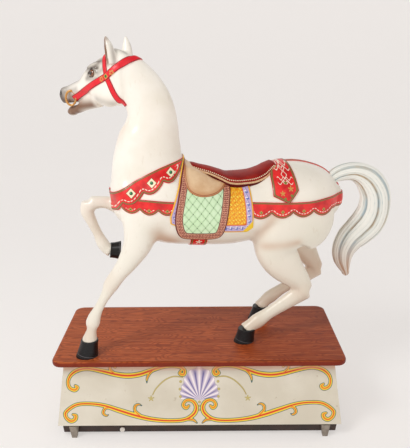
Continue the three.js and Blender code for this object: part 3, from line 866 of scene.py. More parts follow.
def coat_paint():
    """White enamel, airbrushed tan and grey in the hollows; the tan, and the warmer, darker tone
    low on the body, are painted shade.
    """
    paint = Paint("coat_enamel", (253, 250, 241), 0.30, 0.35)
    x, _, z, where = paint.place("coat_place")
    cloud = paint.noise(where, 7, 3)
    grain = paint.noise(paint.stretched(where, (1, 1, 0.3)), 60, 4)
    neck = (0.30 - abs(z - 0.98)).edge(0.25)
    paint.cover((252, 234, 218), neck * (cloud - 0.45).edge(0.3) * 0.6)
    # Painted shade: the coat is warmer and darker low on the body, and more so low on the
    # hindquarters.
    paint.cover((232, 220, 200), (0.54 - z).edge(0.30) * 0.55)
    paint.cover((222, 210, 188), (0.68 - z).edge(0.14) * (x - 0.12).edge(0.20) * 0.25)
    paint.cover((226, 228, 210), (cloud - 0.56).edge(0.2) * 0.35)
    # Painted shade: the tan strokes in the creases, at the joints and under the body.
    paint.cover((204, 158, 120), paint.measure("tan") * (0.6 + 0.4 * cloud))
    paint.cover((128, 92, 68), paint.measure("brown") * 1.15)
    paint.cover((92, 78, 68), paint.measure("grey") * (0.9 + 0.3 * cloud))
    paint.cover((50, 34, 26), paint.measure("dark") * 1.15)
    paint.cover((214, 196, 172), (grain - 0.68).edge(0.06) * 0.25)
    paint.roughen(0.24 + 0.14 * cloud)
    paint.emboss(grain + 2 * cloud, 0.0007, 0.3)
    return paint.material


def red_leather(name):
    """Red enamel with brushwork a little lighter and darker."""
    paint, x, z, deep, where = layer_paint(name, (216, 12, 20), 0.32, 0.2)
    brush = paint.noise(where, 24, 3)
    paint.cover((244, 40, 38), (brush - 0.5).edge(0.2))
    paint.cover((186, 14, 20), (0.44 - brush).edge(0.12) * 0.6)
    paint.roughen(0.25 + 0.2 * brush)
    return paint, x, z, deep


def trimmed(paint, deep, start=0.003, stop=0.008):
    """An olive band inside the edge, with a thin dark line along it."""
    paint.cover((92, 12, 12), stripe(deep, start - 0.0004, 0.0009))
    middle = (start + stop) / 2
    paint.cover(OLIVE, stripe(deep, middle, (stop - start) / 2))
    paint.cover((168, 140, 78), stripe(deep, middle - 0.0008, 0.0007))


def gem(paint, x, z, place, size, frame_colour):
    """A lozenge frame with a green stone in it, with a painted highlight on the stone."""
    paint.cover((120, 70, 28), lozenge(x, z, place, size * 1.12, size * 1.12))
    paint.cover(frame_colour, lozenge(x, z, place, size, size))
    paint.cover((12, 84, 44), disc(x, z, place, size * 0.36))
    # A painted highlight on the stone, up and to the left of its middle.
    painted_highlight = (place[0] - size * 0.1, place[1] + size * 0.1)
    paint.cover((88, 190, 120), disc(x, z, painted_highlight, size * 0.13))


def middles(start, end, count, drop):
    """The middle of each lobe, in metres."""
    return [tuple((start[k] + (end[k] - start[k]) * (i + 0.5) / count - drop * k) * 0.001
                  for k in (0, 1)) for i in range(count)]


def lobed_strap(name, low, gems, size, frame_colour):
    """A strap that hangs in lobes: a dotted cream line follows them below the height low(x), with
    a gem in each."""
    paint, x, z, deep = red_leather(name)
    trimmed(paint, deep)
    beads = (0.0021 - abs(x.swing(-0.006, 0.0))).edge(LINE)
    paint.cover(CREAM, stripe(deep, 0.0155, 0.0016) * (low(x) - z).edge(LINE) * (1 - beads))
    for place in gems:
        gem(paint, x, z, place, size, frame_colour)
    return paint.material


def collar_paint():
    places = [(-0.295, 0.712), (-0.212, 0.752), (-0.133, 0.787)]
    return lobed_strap("collar_red", lambda x: 0.690 + (x + 0.325) * 0.55, places, 0.0185,
                       (250, 236, 200))


def breast_paint():
    return lobed_strap("breast_band_red", lambda x: 0.655 - (x + 0.33) * 0.05,
                       middles((-335, 655), (-120, 643), 3, 4), 0.0085, GOLD)


def rump_paint():
    return lobed_strap("rump_band_red", lambda x: 0.622,
                       middles((190, 618), (560, 615), 4, 4), 0.0085, GOLD)


def shield_paint():
    """The shield on the rump: cream scrolls in rows, with gold stars and green studs below."""
    paint, x, z, deep = red_leather("shield_red")
    trimmed(paint, deep, 0.003, 0.010)
    across = abs(x - 0.347)
    between = (0.030 - across).edge(LINE)
    for low, pace, bend in ((0.728, 210, 0.0065), (0.742, 300, 0.0050),
                            (0.776, 210, 0.0065), (0.790, 300, 0.0050)):
        paint.cover(CREAM, stripe(z, low + bend * (across * pace).wave(), 0.0015) * between)
    stem = stripe(across, 0.006 + 0.004 * (z * 260).wave(), 0.0013)
    paint.cover(CREAM, stem * (z - 0.722).edge(LINE))
    paint.cover(GOLD, star(paint, x, z, (0.364, 0.706), 0.012))
    paint.cover(GOLD, star(paint, x, z, (0.330, 0.688), 0.011))
    for place in ((0.346, 0.727), (0.340, 0.668), (0.366, 0.680)):
        paint.cover((118, 130, 52), disc(x, z, place, 0.0052))
    return paint.material


def crupper_paint():
    paint, _, _, deep = red_leather("crupper_red")
    trimmed(paint, deep, 0.002, 0.006)
    return paint.material


def girth_paint():
    paint, x, z, deep = red_leather("girth_red")
    trimmed(paint, deep, 0.004, 0.010)
    paint.cover(CREAM, star(paint, x, z, (-0.020, 0.492), 0.014))
    return paint.material


def bridle_paint(name, flowers=(), stone=None):
    """Narrow red straps of the bridle, with darker edges and gold flowers."""
    paint, x, z, deep, where = layer_paint(name, (222, 8, 30), 0.32, 0.2, "head_place")
    brush = paint.noise(where, 60, 3)
    paint.cover((236, 18, 40), (brush - 0.5).edge(0.2))
    paint.cover((96, 12, 12), (0.0022 - deep).edge(LINE))
    for middle in flowers:
        for angle in around(5):
            petal = middle + 0.0072 * np.array([math.cos(angle), math.sin(angle)])
            paint.cover(GOLD, disc(x, z, petal.tolist(), 0.0036))
        paint.cover((190, 60, 30), disc(x, z, middle, 0.0020))
    if stone:
        paint.cover(GOLD, lozenge(x, z, stone, 0.0115, 0.0115))
        paint.cover((16, 112, 40), disc(x, z, stone, 0.0052))
    paint.roughen(0.24 + 0.2 * brush)
    return paint.material


def scrollwork(x, z, size):
    """A running scroll as on brocade: from 0 along the middle of its stems up to 2."""
    along, up = x * (math.tau / size), z * (math.tau / size)
    return abs((along + 1.7 * up.wave()).wave() + (up + 1.7 * (along + 1.3).wave()).wave())


def blanket_paint():
    """Yellow cloth with orange scrolls, and a lilac band zigzagged in blue and white."""
    paint, x, z, deep, where = layer_paint("blanket_cloth", (253, 190, 37), 0.5, 0.1)
    scroll = scrollwork(x, z, 0.028)
    paint.cover((255, 224, 84), (scroll - 1.25).edge(0.20))
    across, up = [value.swing(0, 0.017) - 0.0085 for value in (x, z + 0.35 * x)]
    curl = paint.sum("SQRT", across * across + up * up)
    paint.cover((232, 112, 16), stripe(curl, 0.0066, 0.0010))
    paint.cover((236, 122, 20), (0.14 - scroll).edge(0.08) * 0.8)
    band = stripe(deep, 0.0175, 0.0125)
    zig = (x + z).swing(0, 0.011) * 0.9 + 0.0125
    paint.cover((196, 176, 214), band)
    paint.cover((96, 118, 190), stripe(deep, zig, 0.0022) * band)
    paint.cover((246, 240, 250), stripe(deep, zig + 0.0045, 0.0014) * band)
    paint.cover((224, 92, 20), stripe(deep, 0.0315, 0.0016))
    paint.cover((252, 200, 60), (0.0050 - deep).edge(LINE))
    paint.cover((214, 118, 30), stripe(deep, 0.0050, 0.0008))
    corner = (0.024 - deep).edge(LINE) * (x - z + 0.383).edge(LINE)
    paint.cover((250, 206, 40), corner)
    paint.emboss((x * 2600).wave() * (z * 2600).wave(), 0.0003, 0.4)
    paint.roughen(0.45 + 0.1 * paint.noise(where, 40))
    return paint.material


def pad_paint():
    """A mint quilt in diamonds with a brocade border, with painted shade beside its seams."""
    paint, x, z, deep, where = layer_paint("quilted_pad", (208, 240, 192), 0.42, 0.2)
    step = 0.034
    rows = [value.swing(0, step) for value in (x + z * 0.9, x - z * 0.9)]
    side_one, side_two = [row.least(step - row) for row in rows]
    paint.cover((224, 246, 212), (paint.noise(where, 14) - 0.5).edge(0.2))
    seam = side_one.least(side_two)
    # Painted shade beside each seam of the quilting.
    paint.cover((186, 218, 168), (0.0042 - seam).edge(0.004) * 0.6)
    paint.cover((140, 180, 130), (0.0006 - seam).edge(LINE))
    paint.cover((64, 84, 58), (0.0024 - side_one.most(side_two)).edge(LINE))
    scroll = scrollwork(x, z, 0.0135)
    border = (0.0325 - deep).edge(LINE)
    paint.cover((196, 118, 96), border)
    paint.cover((120, 52, 34), (0.62 - scroll).edge(0.2) * border)
    paint.cover((252, 190, 160), (scroll - 1.4).edge(0.2) * border)
    paint.cover((110, 20, 28), (0.0055 - deep).edge(LINE).most(stripe(deep, 0.0315, 0.0016)))
    braid = stripe(deep, 0.0072, 0.0010).most(stripe(deep, 0.0286, 0.0009))
    paint.cover((222, 168, 132), braid)
    paint.emboss((seam * 180).least(1) * (1 - border) + border * 0.6 * scroll, 0.0016, 0.7)
    paint.roughen(0.38 + 0.12 * paint.noise(where, 60))
    return paint.material


def skirt_paint():
    """Tan leather with an orange-brown rim and a line of stitching."""
    paint, _, _, deep, where = layer_paint("skirt_leather", (228, 190, 146), 0.36, 0.25)
    cloud = paint.noise(where, 12, 4)
    paint.cover((240, 208, 168), (cloud - 0.48).edge(0.2))
    paint.cover((206, 158, 112), (0.42 - cloud).edge(0.2) * 0.8)
    paint.cover((196, 128, 74), (0.012 - deep).edge(0.008) * 0.7)
    paint.cover((150, 78, 36), stripe(deep, 0.0052, 0.0011))
    paint.cover((176, 104, 50), (0.0026 - deep).edge(LINE))
    paint.emboss(paint.noise(where, 240, 4), 0.0006, 0.35)
    paint.roughen(0.32 + 0.14 * cloud)
    return paint.material


def hair_paint():
    """Pale carved hair: silver-white ridges, grey-blue and tan in the grooves as painted shade,
    darkest at their bottoms.
    """
    paint = Paint("tail_hair", (246, 246, 238), 0.36, 0.25)
    _, _, z, where = paint.place("coat_place")
    groove = paint.measure("groove")
    cloud = paint.noise(where, 9, 3)
    # Painted shade in the grooves: grey-blue and tan, darkest at their bottoms.
    paint.cover((214, 222, 216), (groove - 0.30).edge(0.25))
    paint.cover((172, 190, 196), (groove - 0.42).edge(0.22) * (cloud - 0.46).edge(0.12))
    paint.cover((196, 170, 138), (groove - 0.45).edge(0.22) * (0.46 - cloud).edge(0.10))
    paint.cover((112, 108, 98), (groove - 0.80).edge(0.14) * 0.7)
    paint.cover((190, 146, 116), (0.36 - z).edge(0.08) * (groove - 0.05).edge(0.4))
    paint.roughen(0.30 + 0.2 * groove)
    paint.emboss(paint.noise(paint.stretched(where, (1, 1, 0.25)), 160, 4), 0.0012, 0.5)
    return paint.material


def hoof_paint():
    """Black enamel with faint growth rings."""
    paint = Paint("hoof_black", (14, 14, 16), 0.30, 0.10, shine=0.30)
    share = paint.measure("share")
    where = paint.place("coat_place")[3]
    rings = (share * 60 + 2 * paint.noise(where, 30)).wave()
    paint.cover((34, 33, 36), (rings - 0.2).edge(0.6) * 0.3)
    paint.cover((120, 118, 122), stripe(share, 0.86, 0.02) * 0.45)
    paint.roughen(0.24 + 0.12 * paint.noise(where, 50))
    paint.emboss(rings, 0.0006, 0.4)
    return paint.material


def seat_paint():
    """Maroon leather, lighter where it is rubbed."""
    paint, _, _, deep, where = layer_paint("seat_leather", (158, 22, 14), 0.42, 0.0, shine=0.15)
    cloud = paint.noise(where, 11, 4)
    paint.cover((160, 40, 28), (cloud - 0.5).edge(0.2))
    paint.cover((112, 22, 20), (0.42 - cloud).edge(0.15) * 0.8)
    paint.cover((96, 20, 18), (0.006 - deep).edge(0.005))
    paint.emboss(paint.noise(where, 260, 4), 0.0006, 0.4)
    paint.roughen(0.36 + 0.16 * cloud)
    return paint.material


def plain_paint(name, colour, shade, rough, gloss, scale, metal=0.0):
    """One worn colour over another, for small parts."""
    paint = Paint(name, colour, rough, gloss)
    cloud = paint.noise(paint.place()[3], scale, 4)
    paint.cover(shade, (cloud - 0.52).edge(0.15))
    paint.surface.inputs["Metallic"].default_value = metal
    paint.roughen(rough * 0.8 + rough * 0.5 * cloud)
    paint.emboss(cloud, 0.0004, 0.3)
    return paint.material


def eye_paint():
    """A glass eye: brown iris, black pupil, glossy."""
    paint = Paint("glass_eye", (236, 226, 208), 0.04, 1.0)
    across = paint.measure("off_centre")
    flecks = paint.noise(paint.place("coat_place")[3], 500)
    paint.cover((52, 30, 18), (0.93 - across).edge(0.03))
    paint.cover((132, 78, 40), (0.84 - across).edge(0.08) * (0.6 + 0.5 * flecks))
    paint.cover((6, 5, 5), (0.46 - across).edge(0.03))
    return paint.material


# ---------- the plinth's finishes ----------

SLANT = 0.037     # how far a panel leans in between its foot and its top
panel_low, panel_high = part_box("plinth_panel_front")
PANEL = {"foot": panel_low.z, "top": panel_high.z, "thick": 0.018,
         "lean": SLANT / (panel_high.z - panel_low.z)}


def oak_paint():
    """Red-brown stained oak boards with a flame in the grain, darker along the edge, and painted
    shade darkening them towards the tail end.
    """
    paint = Paint("oak_stain", (200, 100, 48), 0.44, 0.0, shine=0.16)
    x, y, height, where = paint.place()
    grain = paint.noise(paint.stretched(where, (1.6, 34, 34)), 3.4, 6, 0.6)
    pores = paint.noise(paint.stretched(where, (9, 220, 220)), 4, 3)
    flame = (paint.noise(paint.stretched(where, (1.1, 4.2, 4.2)), 2.0, 2) * 190
             + abs(x) * 26).wave()
    # Painted shade: darker towards the tail end of the deck, away from the key lamp.
    paint.cover((142, 56, 22), (x + 0.06).edge(0.6) * 0.8)
    paint.cover((132, 54, 30), (0.46 - grain).edge(0.08) * 0.6)
    paint.cover((192, 108, 68), (grain - 0.56).edge(0.08) * 0.6)
    paint.cover((116, 46, 24), (flame - 0.35).edge(0.4) * 0.5)
    paint.cover((96, 42, 26), (pores - 0.60).edge(0.05) * 0.5)
    joint = abs(abs(y.swing(-0.095, 0.095)) - 0.095)
    paint.cover((92, 36, 20), (0.0012 - joint).edge(LINE) * 0.6)
    paint.cover((118, 36, 22), (deck_high.z - 0.004 - height).edge(0.002) * 0.85)
    paint.emboss(grain - 0.4 * pores, 0.0006, 0.3)
    paint.roughen(0.36 + 0.16 * grain)
    return paint.material


def panel_ground(name):
    """Aged cream paint, and where each place of the panel is."""
    paint = Paint(name, (222, 215, 197), 0.5, 0.12)
    x, y, z, where = paint.place()
    cloud = paint.noise(where, 4, 5)
    paint.cover((206, 196, 176), (cloud - 0.5).edge(0.25) * 0.6)
    paint.cover((236, 230, 216), (0.44 - cloud).edge(0.15) * 0.6)
    paint.cover((178, 160, 132), (paint.noise(where, 46, 2) - 0.72).edge(0.03) * 0.5)
    paint.roughen(0.42 + 0.2 * cloud)
    paint.emboss(paint.noise(where, 90, 4), 0.0004, 0.4)
    return paint, (x, y, z)


def bordered_panel_paint(name, axis, half, middle):
    """A plain panel: cream, with an orange line between two thin dark ones."""
    paint, place = panel_ground(name)
    below_top = PANEL["top"] - place[2]
    end = half + below_top * PANEL["lean"] - abs(place[axis] - middle)
    deep = end.least(place[2] - PANEL["foot"]).least(below_top)
    paint.cover((40, 92, 92), stripe(deep, 0.036, 0.0062))
    paint.cover((244, 150, 40), stripe(deep, 0.036, 0.0046))
    paint.cover((252, 206, 70), stripe(deep, 0.0375, 0.0014))
    return paint.material


# The painting of the front panel: strokes as side, height and half width, in millimetres.
SCROLLS = [
    [(-537, 250, 5), (-529, 241, 8), (-541, 230, 9), (-562, 240, 8), (-568, 267, 7), (-556, 296, 8),
     (-526, 318, 9), (-481, 326, 9), (-421, 315, 10), (-358, 299, 11), (-306, 293, 11.5),
     (-254, 300, 11), (-206, 317, 10), (-159, 332, 9), (-116, 336, 8), (-80, 330, 8),
     (-63, 312, 8), (-69, 296, 8), (-84, 302, 7), (-79, 314, 5)],
    [(-552, 118, 5), (-540, 112, 8), (-545, 95, 9), (-563, 88, 9), (-582, 104, 8), (-582, 130, 8),
     (-537, 162, 8), (-480, 167, 8), (-419, 159, 9), (-351, 136, 11), (-282, 113, 11.5),
     (-213, 95, 10), (-134, 87, 9), (-64, 92, 9), (-24, 118, 10), (-14, 150, 9),
     (-29, 176, 8), (-56, 180, 7), (-71, 160, 7), (-59, 145, 8), (-47, 155, 5)],
    [(-362, 300, 7), (-380, 316, 6), (-386, 330, 5), (-375, 338, 5), (-362, 332, 5)],
    [(-196, 322, 8), (-216, 301, 6), (-226, 278, 4), (-227, 260, 0.5)],
    [(-390, 150, 6), (-412, 144, 6), (-420, 124, 6), (-408, 112, 4), (-398, 116, 1)],
    [(-262, 112, 8), (-281, 134, 6), (-280, 154, 6), (-266, 163, 4), (-252, 157, 1)],
    [(-58, 93, 7), (-30, 91, 6), (-12, 76, 2)]]
GILT_ARC = [(-72, 285, 3), (-113, 288, 3.2), (-152, 270, 3.2), (-187, 235, 3), (-203, 206, 2.4)]
GILT_DOTS = [(81, 265), (84, 231), (82, 197), (0, 172), (0, 154), (0, 136)]
GILT_STAR = (-210, 189)
SHELL_FOOT = (0, 182)
# How far the shell reaches in each direction, in degrees from straight up.
SHELL_REACH = {0: 150, 11: 143, 25: 127, 39: 106, 53: 95, 90: 77}
RIBS = 21


def brushed(places, stroke):
    """How far inside a painted stroke places are, the same as a share of its half width, and how
    near they are to the middle of its length."""
    line = refined([(x, 0, z, w) for x, z, w in stroke], 6)[:, [0, 2, 3]]
    depth = np.full(len(places), -1.0)
    share, along = np.zeros((2, len(places)))
    for number, (p, q) in enumerate(zip(line[:-1], line[1:])):
        e = q[:2] - p[:2]
        w = places - p[:2]
        t = np.clip((w @ e) / (e @ e), 0, 1)
        half = p[2] + (q[2] - p[2]) * t
        deep = half - np.linalg.norm(w - t[:, None] * e, axis=1)
        share = np.where(deep > depth, deep / half, share)
        along = np.where(deep > depth, (number + t) / (len(line) - 1), along)
        depth = np.maximum(depth, deep)
    return depth, share, np.clip(4.5 * np.minimum(along, 1 - along) - 0.5, 0, 1)


def front_painting(places):
    """What is painted at each place of the front panel, mirrored about its middle."""
    places = np.stack([-np.abs(places[:, 0]), places[:, 1]], 1)
    scroll = np.full(len(places), -1.0)
    core, middle = np.zeros((2, len(places)))
    for stroke in SCROLLS:
        deep, share, centred = brushed(places, stroke)
        core = np.where(deep > scroll, share, core)
        middle = np.where(deep > scroll, centred, middle)
        scroll = np.maximum(scroll, deep)
    gilt = brushed(places, GILT_ARC)[0]
    for x, z in GILT_DOTS:
        away = np.hypot(places[:, 0] + x / 1000, places[:, 1] - z / 1000)
        gilt = np.maximum(gilt, 0.0062 - away)
    d = places - np.array(GILT_STAR) / 1000
    rays = 0.0150 * (0.62 + 0.38 * np.cos(5 * np.arctan2(d[:, 0], d[:, 1])))
    gilt = np.maximum(gilt, rays - np.hypot(*d.T))
    d = places - np.array(SHELL_FOOT) / 1000
    fan = np.arctan2(np.abs(d[:, 0]), d[:, 1])
    reach = np.interp(np.degrees(fan), list(SHELL_REACH), list(SHELL_REACH.values())) / 1000
    shell = reach * (1 + 0.025 * np.cos(fan * RIBS)) - np.hypot(*d.T)
    shell = np.where(fan > math.radians(88), -0.01, shell)
    return {"scroll": scroll, "core": core, "middle": middle, "gilt": gilt, "shell": shell,
            "fan": fan}


def front_panel_paint():
    """Yellow and red scrolls with teal outlines, gilt stars and a lilac shell, and a painted shadow
    of the deck along the top.
    """
    paint, (_, _, height) = panel_ground("front_painting")
    names = ("scroll", "core", "middle", "gilt", "shell", "fan")
    scroll, core, middle, gilt, shell, fan = [paint.measure(name) for name in names]
    on_shell = shell.edge(LINE)
    rib = paint.sum("COSINE", fan * RIBS)
    groove = (-0.84 - rib).edge(0.10) * (shell - 0.012).edge(0.01)
    paint.cover((126, 118, 150), (shell + 0.0012).edge(LINE))
    paint.cover((226, 212, 226), on_shell)
    paint.cover((178, 166, 196), (-0.1 - rib).edge(0.5) * on_shell)
    paint.cover((112, 106, 160), groove * on_shell)
    paint.cover((250, 240, 240), (rib - 0.80).edge(0.10) * on_shell)
    paint.cover((164, 144, 78), gilt.edge(LINE))
    paint.cover((196, 180, 110), (gilt - 0.0012).edge(LINE))
    paint.cover((34, 84, 88), (scroll + 0.0018).edge(LINE))
    paint.cover((246, 220, 58), (scroll - 0.0010).edge(LINE))
    paint.cover((244, 146, 30), (core - 0.56).edge(0.10))
    paint.cover((222, 52, 20), (core - 0.76).edge(0.08) * (0.35 + middle))
    # A warm painted shadow of the deck's overhang, along the top of the panel.
    paint.cover((216, 160, 124), (height - PANEL["top"] + 0.034).edge(0.006) * 0.55)
    return paint.material


def front_panel():
    """The front board on its own form, in a fine grid that carries the painting."""
    columns, rows = 400, 92
    thick, lean = PANEL["thick"], PANEL["lean"]
    low, high = np.array(panel_low), np.array(panel_high)
    middle, half = (low[0] + high[0]) / 2, (high[0] - low[0]) / 2
    across, up = np.meshgrid(np.linspace(-1, 1, columns + 1), np.linspace(0, 1, rows + 1))
    height = low[2] + up * (high[2] - low[2])
    slant = (height - low[2]) * lean
    outer = np.stack([middle + across * (half - slant), low[1] + slant, height], -1).reshape(-1, 3)
    k = np.arange(len(outer)).reshape(rows + 1, columns + 1)
    quads = np.stack([k[:-1, :-1], k[:-1, 1:], k[1:, 1:], k[1:, :-1]], -1).reshape(-1, 4)
    loop = np.concatenate([k[0, :-1], k[:-1, -1], k[-1, :0:-1], k[:0:-1, 0]])
    share = (outer[loop, 0] - middle) / (half - (outer[loop, 2] - low[2]) * lean)
    inner = outer[loop] + np.stack([-share * thick, np.full(len(loop), thick),
                                    np.zeros(len(loop))], 1)
    m = len(outer) + np.arange(len(loop))
    walls = np.stack([loop, m, np.roll(m, -1), np.roll(loop, -1)], 1)
    faces = [list(q) for q in quads] + [list(q) for q in walls] + [list(m[::-1])]
    points = np.concatenate([outer, inner])
    piece = mesh_piece("painted_front_panel", points, faces, [front_panel_paint()], smooth=False)
    painting = front_painting(np.stack([points[:, 0] - middle, points[:, 2]], 1))
    painting["scroll"][len(outer):] = painting["gilt"][len(outer):] = -1
    for name, values in painting.items():
        keep(piece, name, values)
    return piece


# ---------- the horse ----------

# Airbrush strokes: start, end, radius, strength, side (0 is both, -1 near, 1 far).
# The throat's stroke runs on up the neck, past the join with the head.
# The tan strokes are painted shade: in the creases, at the joints, under the belly, throat and
# tail, and over the far legs.
THROAT_SHADE = ((-0.330, 0.030, 0.960), (-0.300, 0.020, 0.840), 0.030, 0.18, 0)
TAN_SHADE = [
    ((-0.205, 0.125, 0.560), (-0.150, 0.130, 0.640), 0.028, 0.55, 0),   # behind the shoulder
    ((-0.140, 0.110, 0.500), (-0.180, 0.120, 0.520), 0.040, 0.70, 0),   # elbow
    ((-0.080, 0.060, 0.440), (0.200, 0.060, 0.440), 0.045, 0.75, 0),    # belly
    ((0.215, 0.150, 0.480), (0.300, 0.165, 0.600), 0.024, 0.60, 0),     # flank
    ((0.230, 0.150, 0.455), (0.400, 0.165, 0.470), 0.020, 0.55, 0),     # thigh
    ((0.455, 0.100, 0.225), (0.440, 0.100, 0.225), 0.045, 0.40, 0),     # hock
    ((-0.385, 0.110, 0.345), (-0.390, 0.110, 0.320), 0.030, 0.35, 0),   # knee
    ((-0.490, 0.110, 0.110), (-0.495, 0.110, 0.080), 0.035, 0.50, 0),   # fetlock
    ((0.215, 0.100, 0.075), (0.235, 0.100, 0.085), 0.040, 0.45, 0),
    # Over the far legs only: painted shade.
    ((-0.270, 0.085, 0.570), (-0.380, 0.091, 0.612), 0.030, 0.55, 1),
    ((-0.478, 0.091, 0.600), (-0.440, 0.091, 0.490), 0.035, 0.35, 1),
    ((0.440, 0.100, 0.430), (0.600, 0.118, 0.250), 0.060, 0.65, 1),
    ((0.600, 0.118, 0.240), (0.330, 0.120, 0.075), 0.035, 0.45, 1),
    THROAT_SHADE,
    ((0.600, 0.000, 0.640), (0.585, 0.000, 0.540), 0.035, 0.45, 0)]
HEAD_GREY = [
    ((-0.322, 0.026, 1.100), (-0.312, 0.026, 1.064), 0.034, 1.00, 0),   # muzzle
    ((-0.296, 0.014, 1.120), (-0.190, 0.018, 1.166), 0.018, 0.50, 0),   # nose ridge
    ((-0.285, 0.032, 1.096), (-0.225, 0.040, 1.112), 0.014, 0.45, 0),   # side of the nose
    ((-0.160, 0.030, 1.200), (-0.075, 0.042, 1.238), 0.020, 0.85, 0),   # brow
    ((-0.150, 0.050, 1.158), (-0.095, 0.050, 1.156), 0.012, 0.60, 0),   # below the eye
    ((-0.150, 0.045, 1.196), (-0.095, 0.048, 1.200), 0.010, 0.90, 0),
    ((-0.085, 0.050, 1.178), (-0.060, 0.050, 1.200), 0.014, 0.45, 0),   # temple
    ((-0.100, 0.050, 1.076), (-0.020, 0.050, 1.060), 0.016, 0.35, 0),   # under the cheek
    ((0.004, 0.054, 1.212), (-0.006, 0.056, 1.285), 0.012, 0.60, 0),     # back of the ear
    ((-0.050, 0.000, 1.262), (0.030, 0.000, 1.262), 0.012, 0.45, 0)]    # forelock
HEAD_BROWN = [
    ((-0.292, 0.018, 1.020), (-0.250, 0.018, 1.010), 0.034, 1.00, 0),   # chin
    ((-0.306, 0.026, 1.058), (-0.262, 0.030, 1.056), 0.016, 1.00, 0),   # lips
    ((-0.255, 0.024, 1.036), (-0.150, 0.030, 1.048), 0.024, 0.85, 0),   # lower jaw
    ((-0.255, 0.028, 1.080), (-0.215, 0.034, 1.076), 0.016, 0.60, 0),   # corner of the mouth
    ((-0.042, 0.056, 1.222), (-0.048, 0.054, 1.308), 0.016, 1.00, -1)]  # inside of the near ear
HEAD_DARK = [
    ((-0.324, 0.024, 1.100), (-0.314, 0.030, 1.090), 0.009, 1.00, 0),   # nostril
    ((-0.322, 0.020, 1.048), (-0.250, 0.030, 1.054), 0.0055, 0.95, 0),  # mouth
    ((-0.146, 0.050, 1.172), (-0.120, 0.052, 1.196), 0.0055, 1.00, 0),  # lids
    ((-0.120, 0.052, 1.196), (-0.094, 0.050, 1.182), 0.0055, 1.00, 0),
    ((-0.140, 0.050, 1.164), (-0.096, 0.050, 1.163), 0.0045, 0.95, 0)]


def airbrushed(places, strokes):
    """How much of an airbrushed tint there is at each place."""
    total = np.zeros(len(places))
    either = np.stack([places[:, 0], np.abs(places[:, 1]), places[:, 2]], 1)
    for start, end, radius, strength, side in strokes:
        mirrored = places * [1, side, 1] if side else either
        a, b = np.array(start), np.array(end)
        w = mirrored - a
        t = np.clip((w @ (b - a)) / ((b - a) @ (b - a)), 0, 1)
        away = np.linalg.norm(w - t[:, None] * (b - a), axis=1)
        total = 1 - (1 - total) * (1 - strength * np.exp(-(away / radius) ** 2))
    return total


def keep(piece, name, values):
    """Stores a number or a place for each point of a piece."""
    values = np.asarray(values, np.float32)
    kind, key = ("FLOAT", "value") if values.ndim == 1 else ("FLOAT_VECTOR", "vector")
    piece.data.attributes.new(name, kind, "POINT").data.foreach_set(key, values.ravel())


def horse_piece(points, faces):
    """The carving with its saddlery: sharp edges along the walls, and the airbrushing stored."""
    raised, faces, layer, tops, places, deep = dressed(points, faces)
    cross = (CROSSING[0] / 1000, CROSSING[1] / 1000)
    paints = [coat_paint(), girth_paint(), breast_paint(), rump_paint(), crupper_paint(),
              shield_paint(), collar_paint(), blanket_paint(), pad_paint(), skirt_paint(),
              bridle_paint("throat_strap_red"), bridle_paint("brow_band_red"),
              bridle_paint("cheek_strap_red", [(-0.062, 1.157), (-0.014, 1.182)], cross)]
    piece = mesh_piece("horse_carving", on_deck(raised), faces, paints, layer)
    ends = np.empty(len(piece.data.edges) * 2, np.int32)
    piece.data.edges.foreach_get("vertices", ends)
    all_edges, walls = [pairs[:, 0] * len(raised) + pairs[:, 1] for pairs in (
        np.sort(ends.reshape(-1, 2), 1).astype(np.int64), edges_of(faces[tops:]).astype(np.int64))]
    sharp = piece.data.attributes.new("sharp_edge", "BOOLEAN", "EDGE")
    sharp.data.foreach_set("value", np.isin(all_edges, walls))
    head = to_head(places)
    up = np.clip((places[:, 2] - 0.98) / 0.03, 0, 1)     # 0 on the body and 1 on the head
    tan = airbrushed(places, TAN_SHADE) * (1 - up) + airbrushed(places, [THROAT_SHADE]) * up
    grey, brown, dark = [airbrushed(head, strokes) * up
                         for strokes in (HEAD_GREY, HEAD_BROWN, HEAD_DARK)]
    for name, values in (("coat_place", places), ("head_place", head), ("deep", deep),
                         ("tan", tan), ("grey", grey), ("brown", brown), ("dark", dark)):
        keep(piece, name, values)
    return piece


def fitted_piece(name, points, faces, place, material, **values):
    """A piece on the horse, with its own places and one more measure stored."""
    piece = mesh_piece(name, on_deck(points), faces, [material])
    keep(piece, "coat_place", place)
    for key, numbers in values.items():
        keep(piece, key, numbers)
    return piece


def by_row(points, sides):
    """For each point of a loft, how far along it is, from 0 to 1."""
    rows = (len(points) - 2) // sides
    return np.concatenate([np.repeat(np.linspace(0, 1, rows), sides), [0.0, 1.0]])


def by_turn(points, sides, pole):
    """For each point of a loft, its angle round the ring; pole is what its two ends get."""
    return np.append(np.tile(around(sides), (len(points) - 2) // sides), [pole, pole])


def tail_made():
    sides = 132
    points, faces = loft(TAIL, sides=sides, steps=15, ends=(0, 1.6), swell=tail_locks)
    locks = tail_locks(by_turn(points, sides, 0), by_row(points, sides))
    groove = np.clip((1.03 - locks) / 0.13, 0, 1)
    return fitted_piece("tail", points, faces, points, hair_paint(), groove=groove)


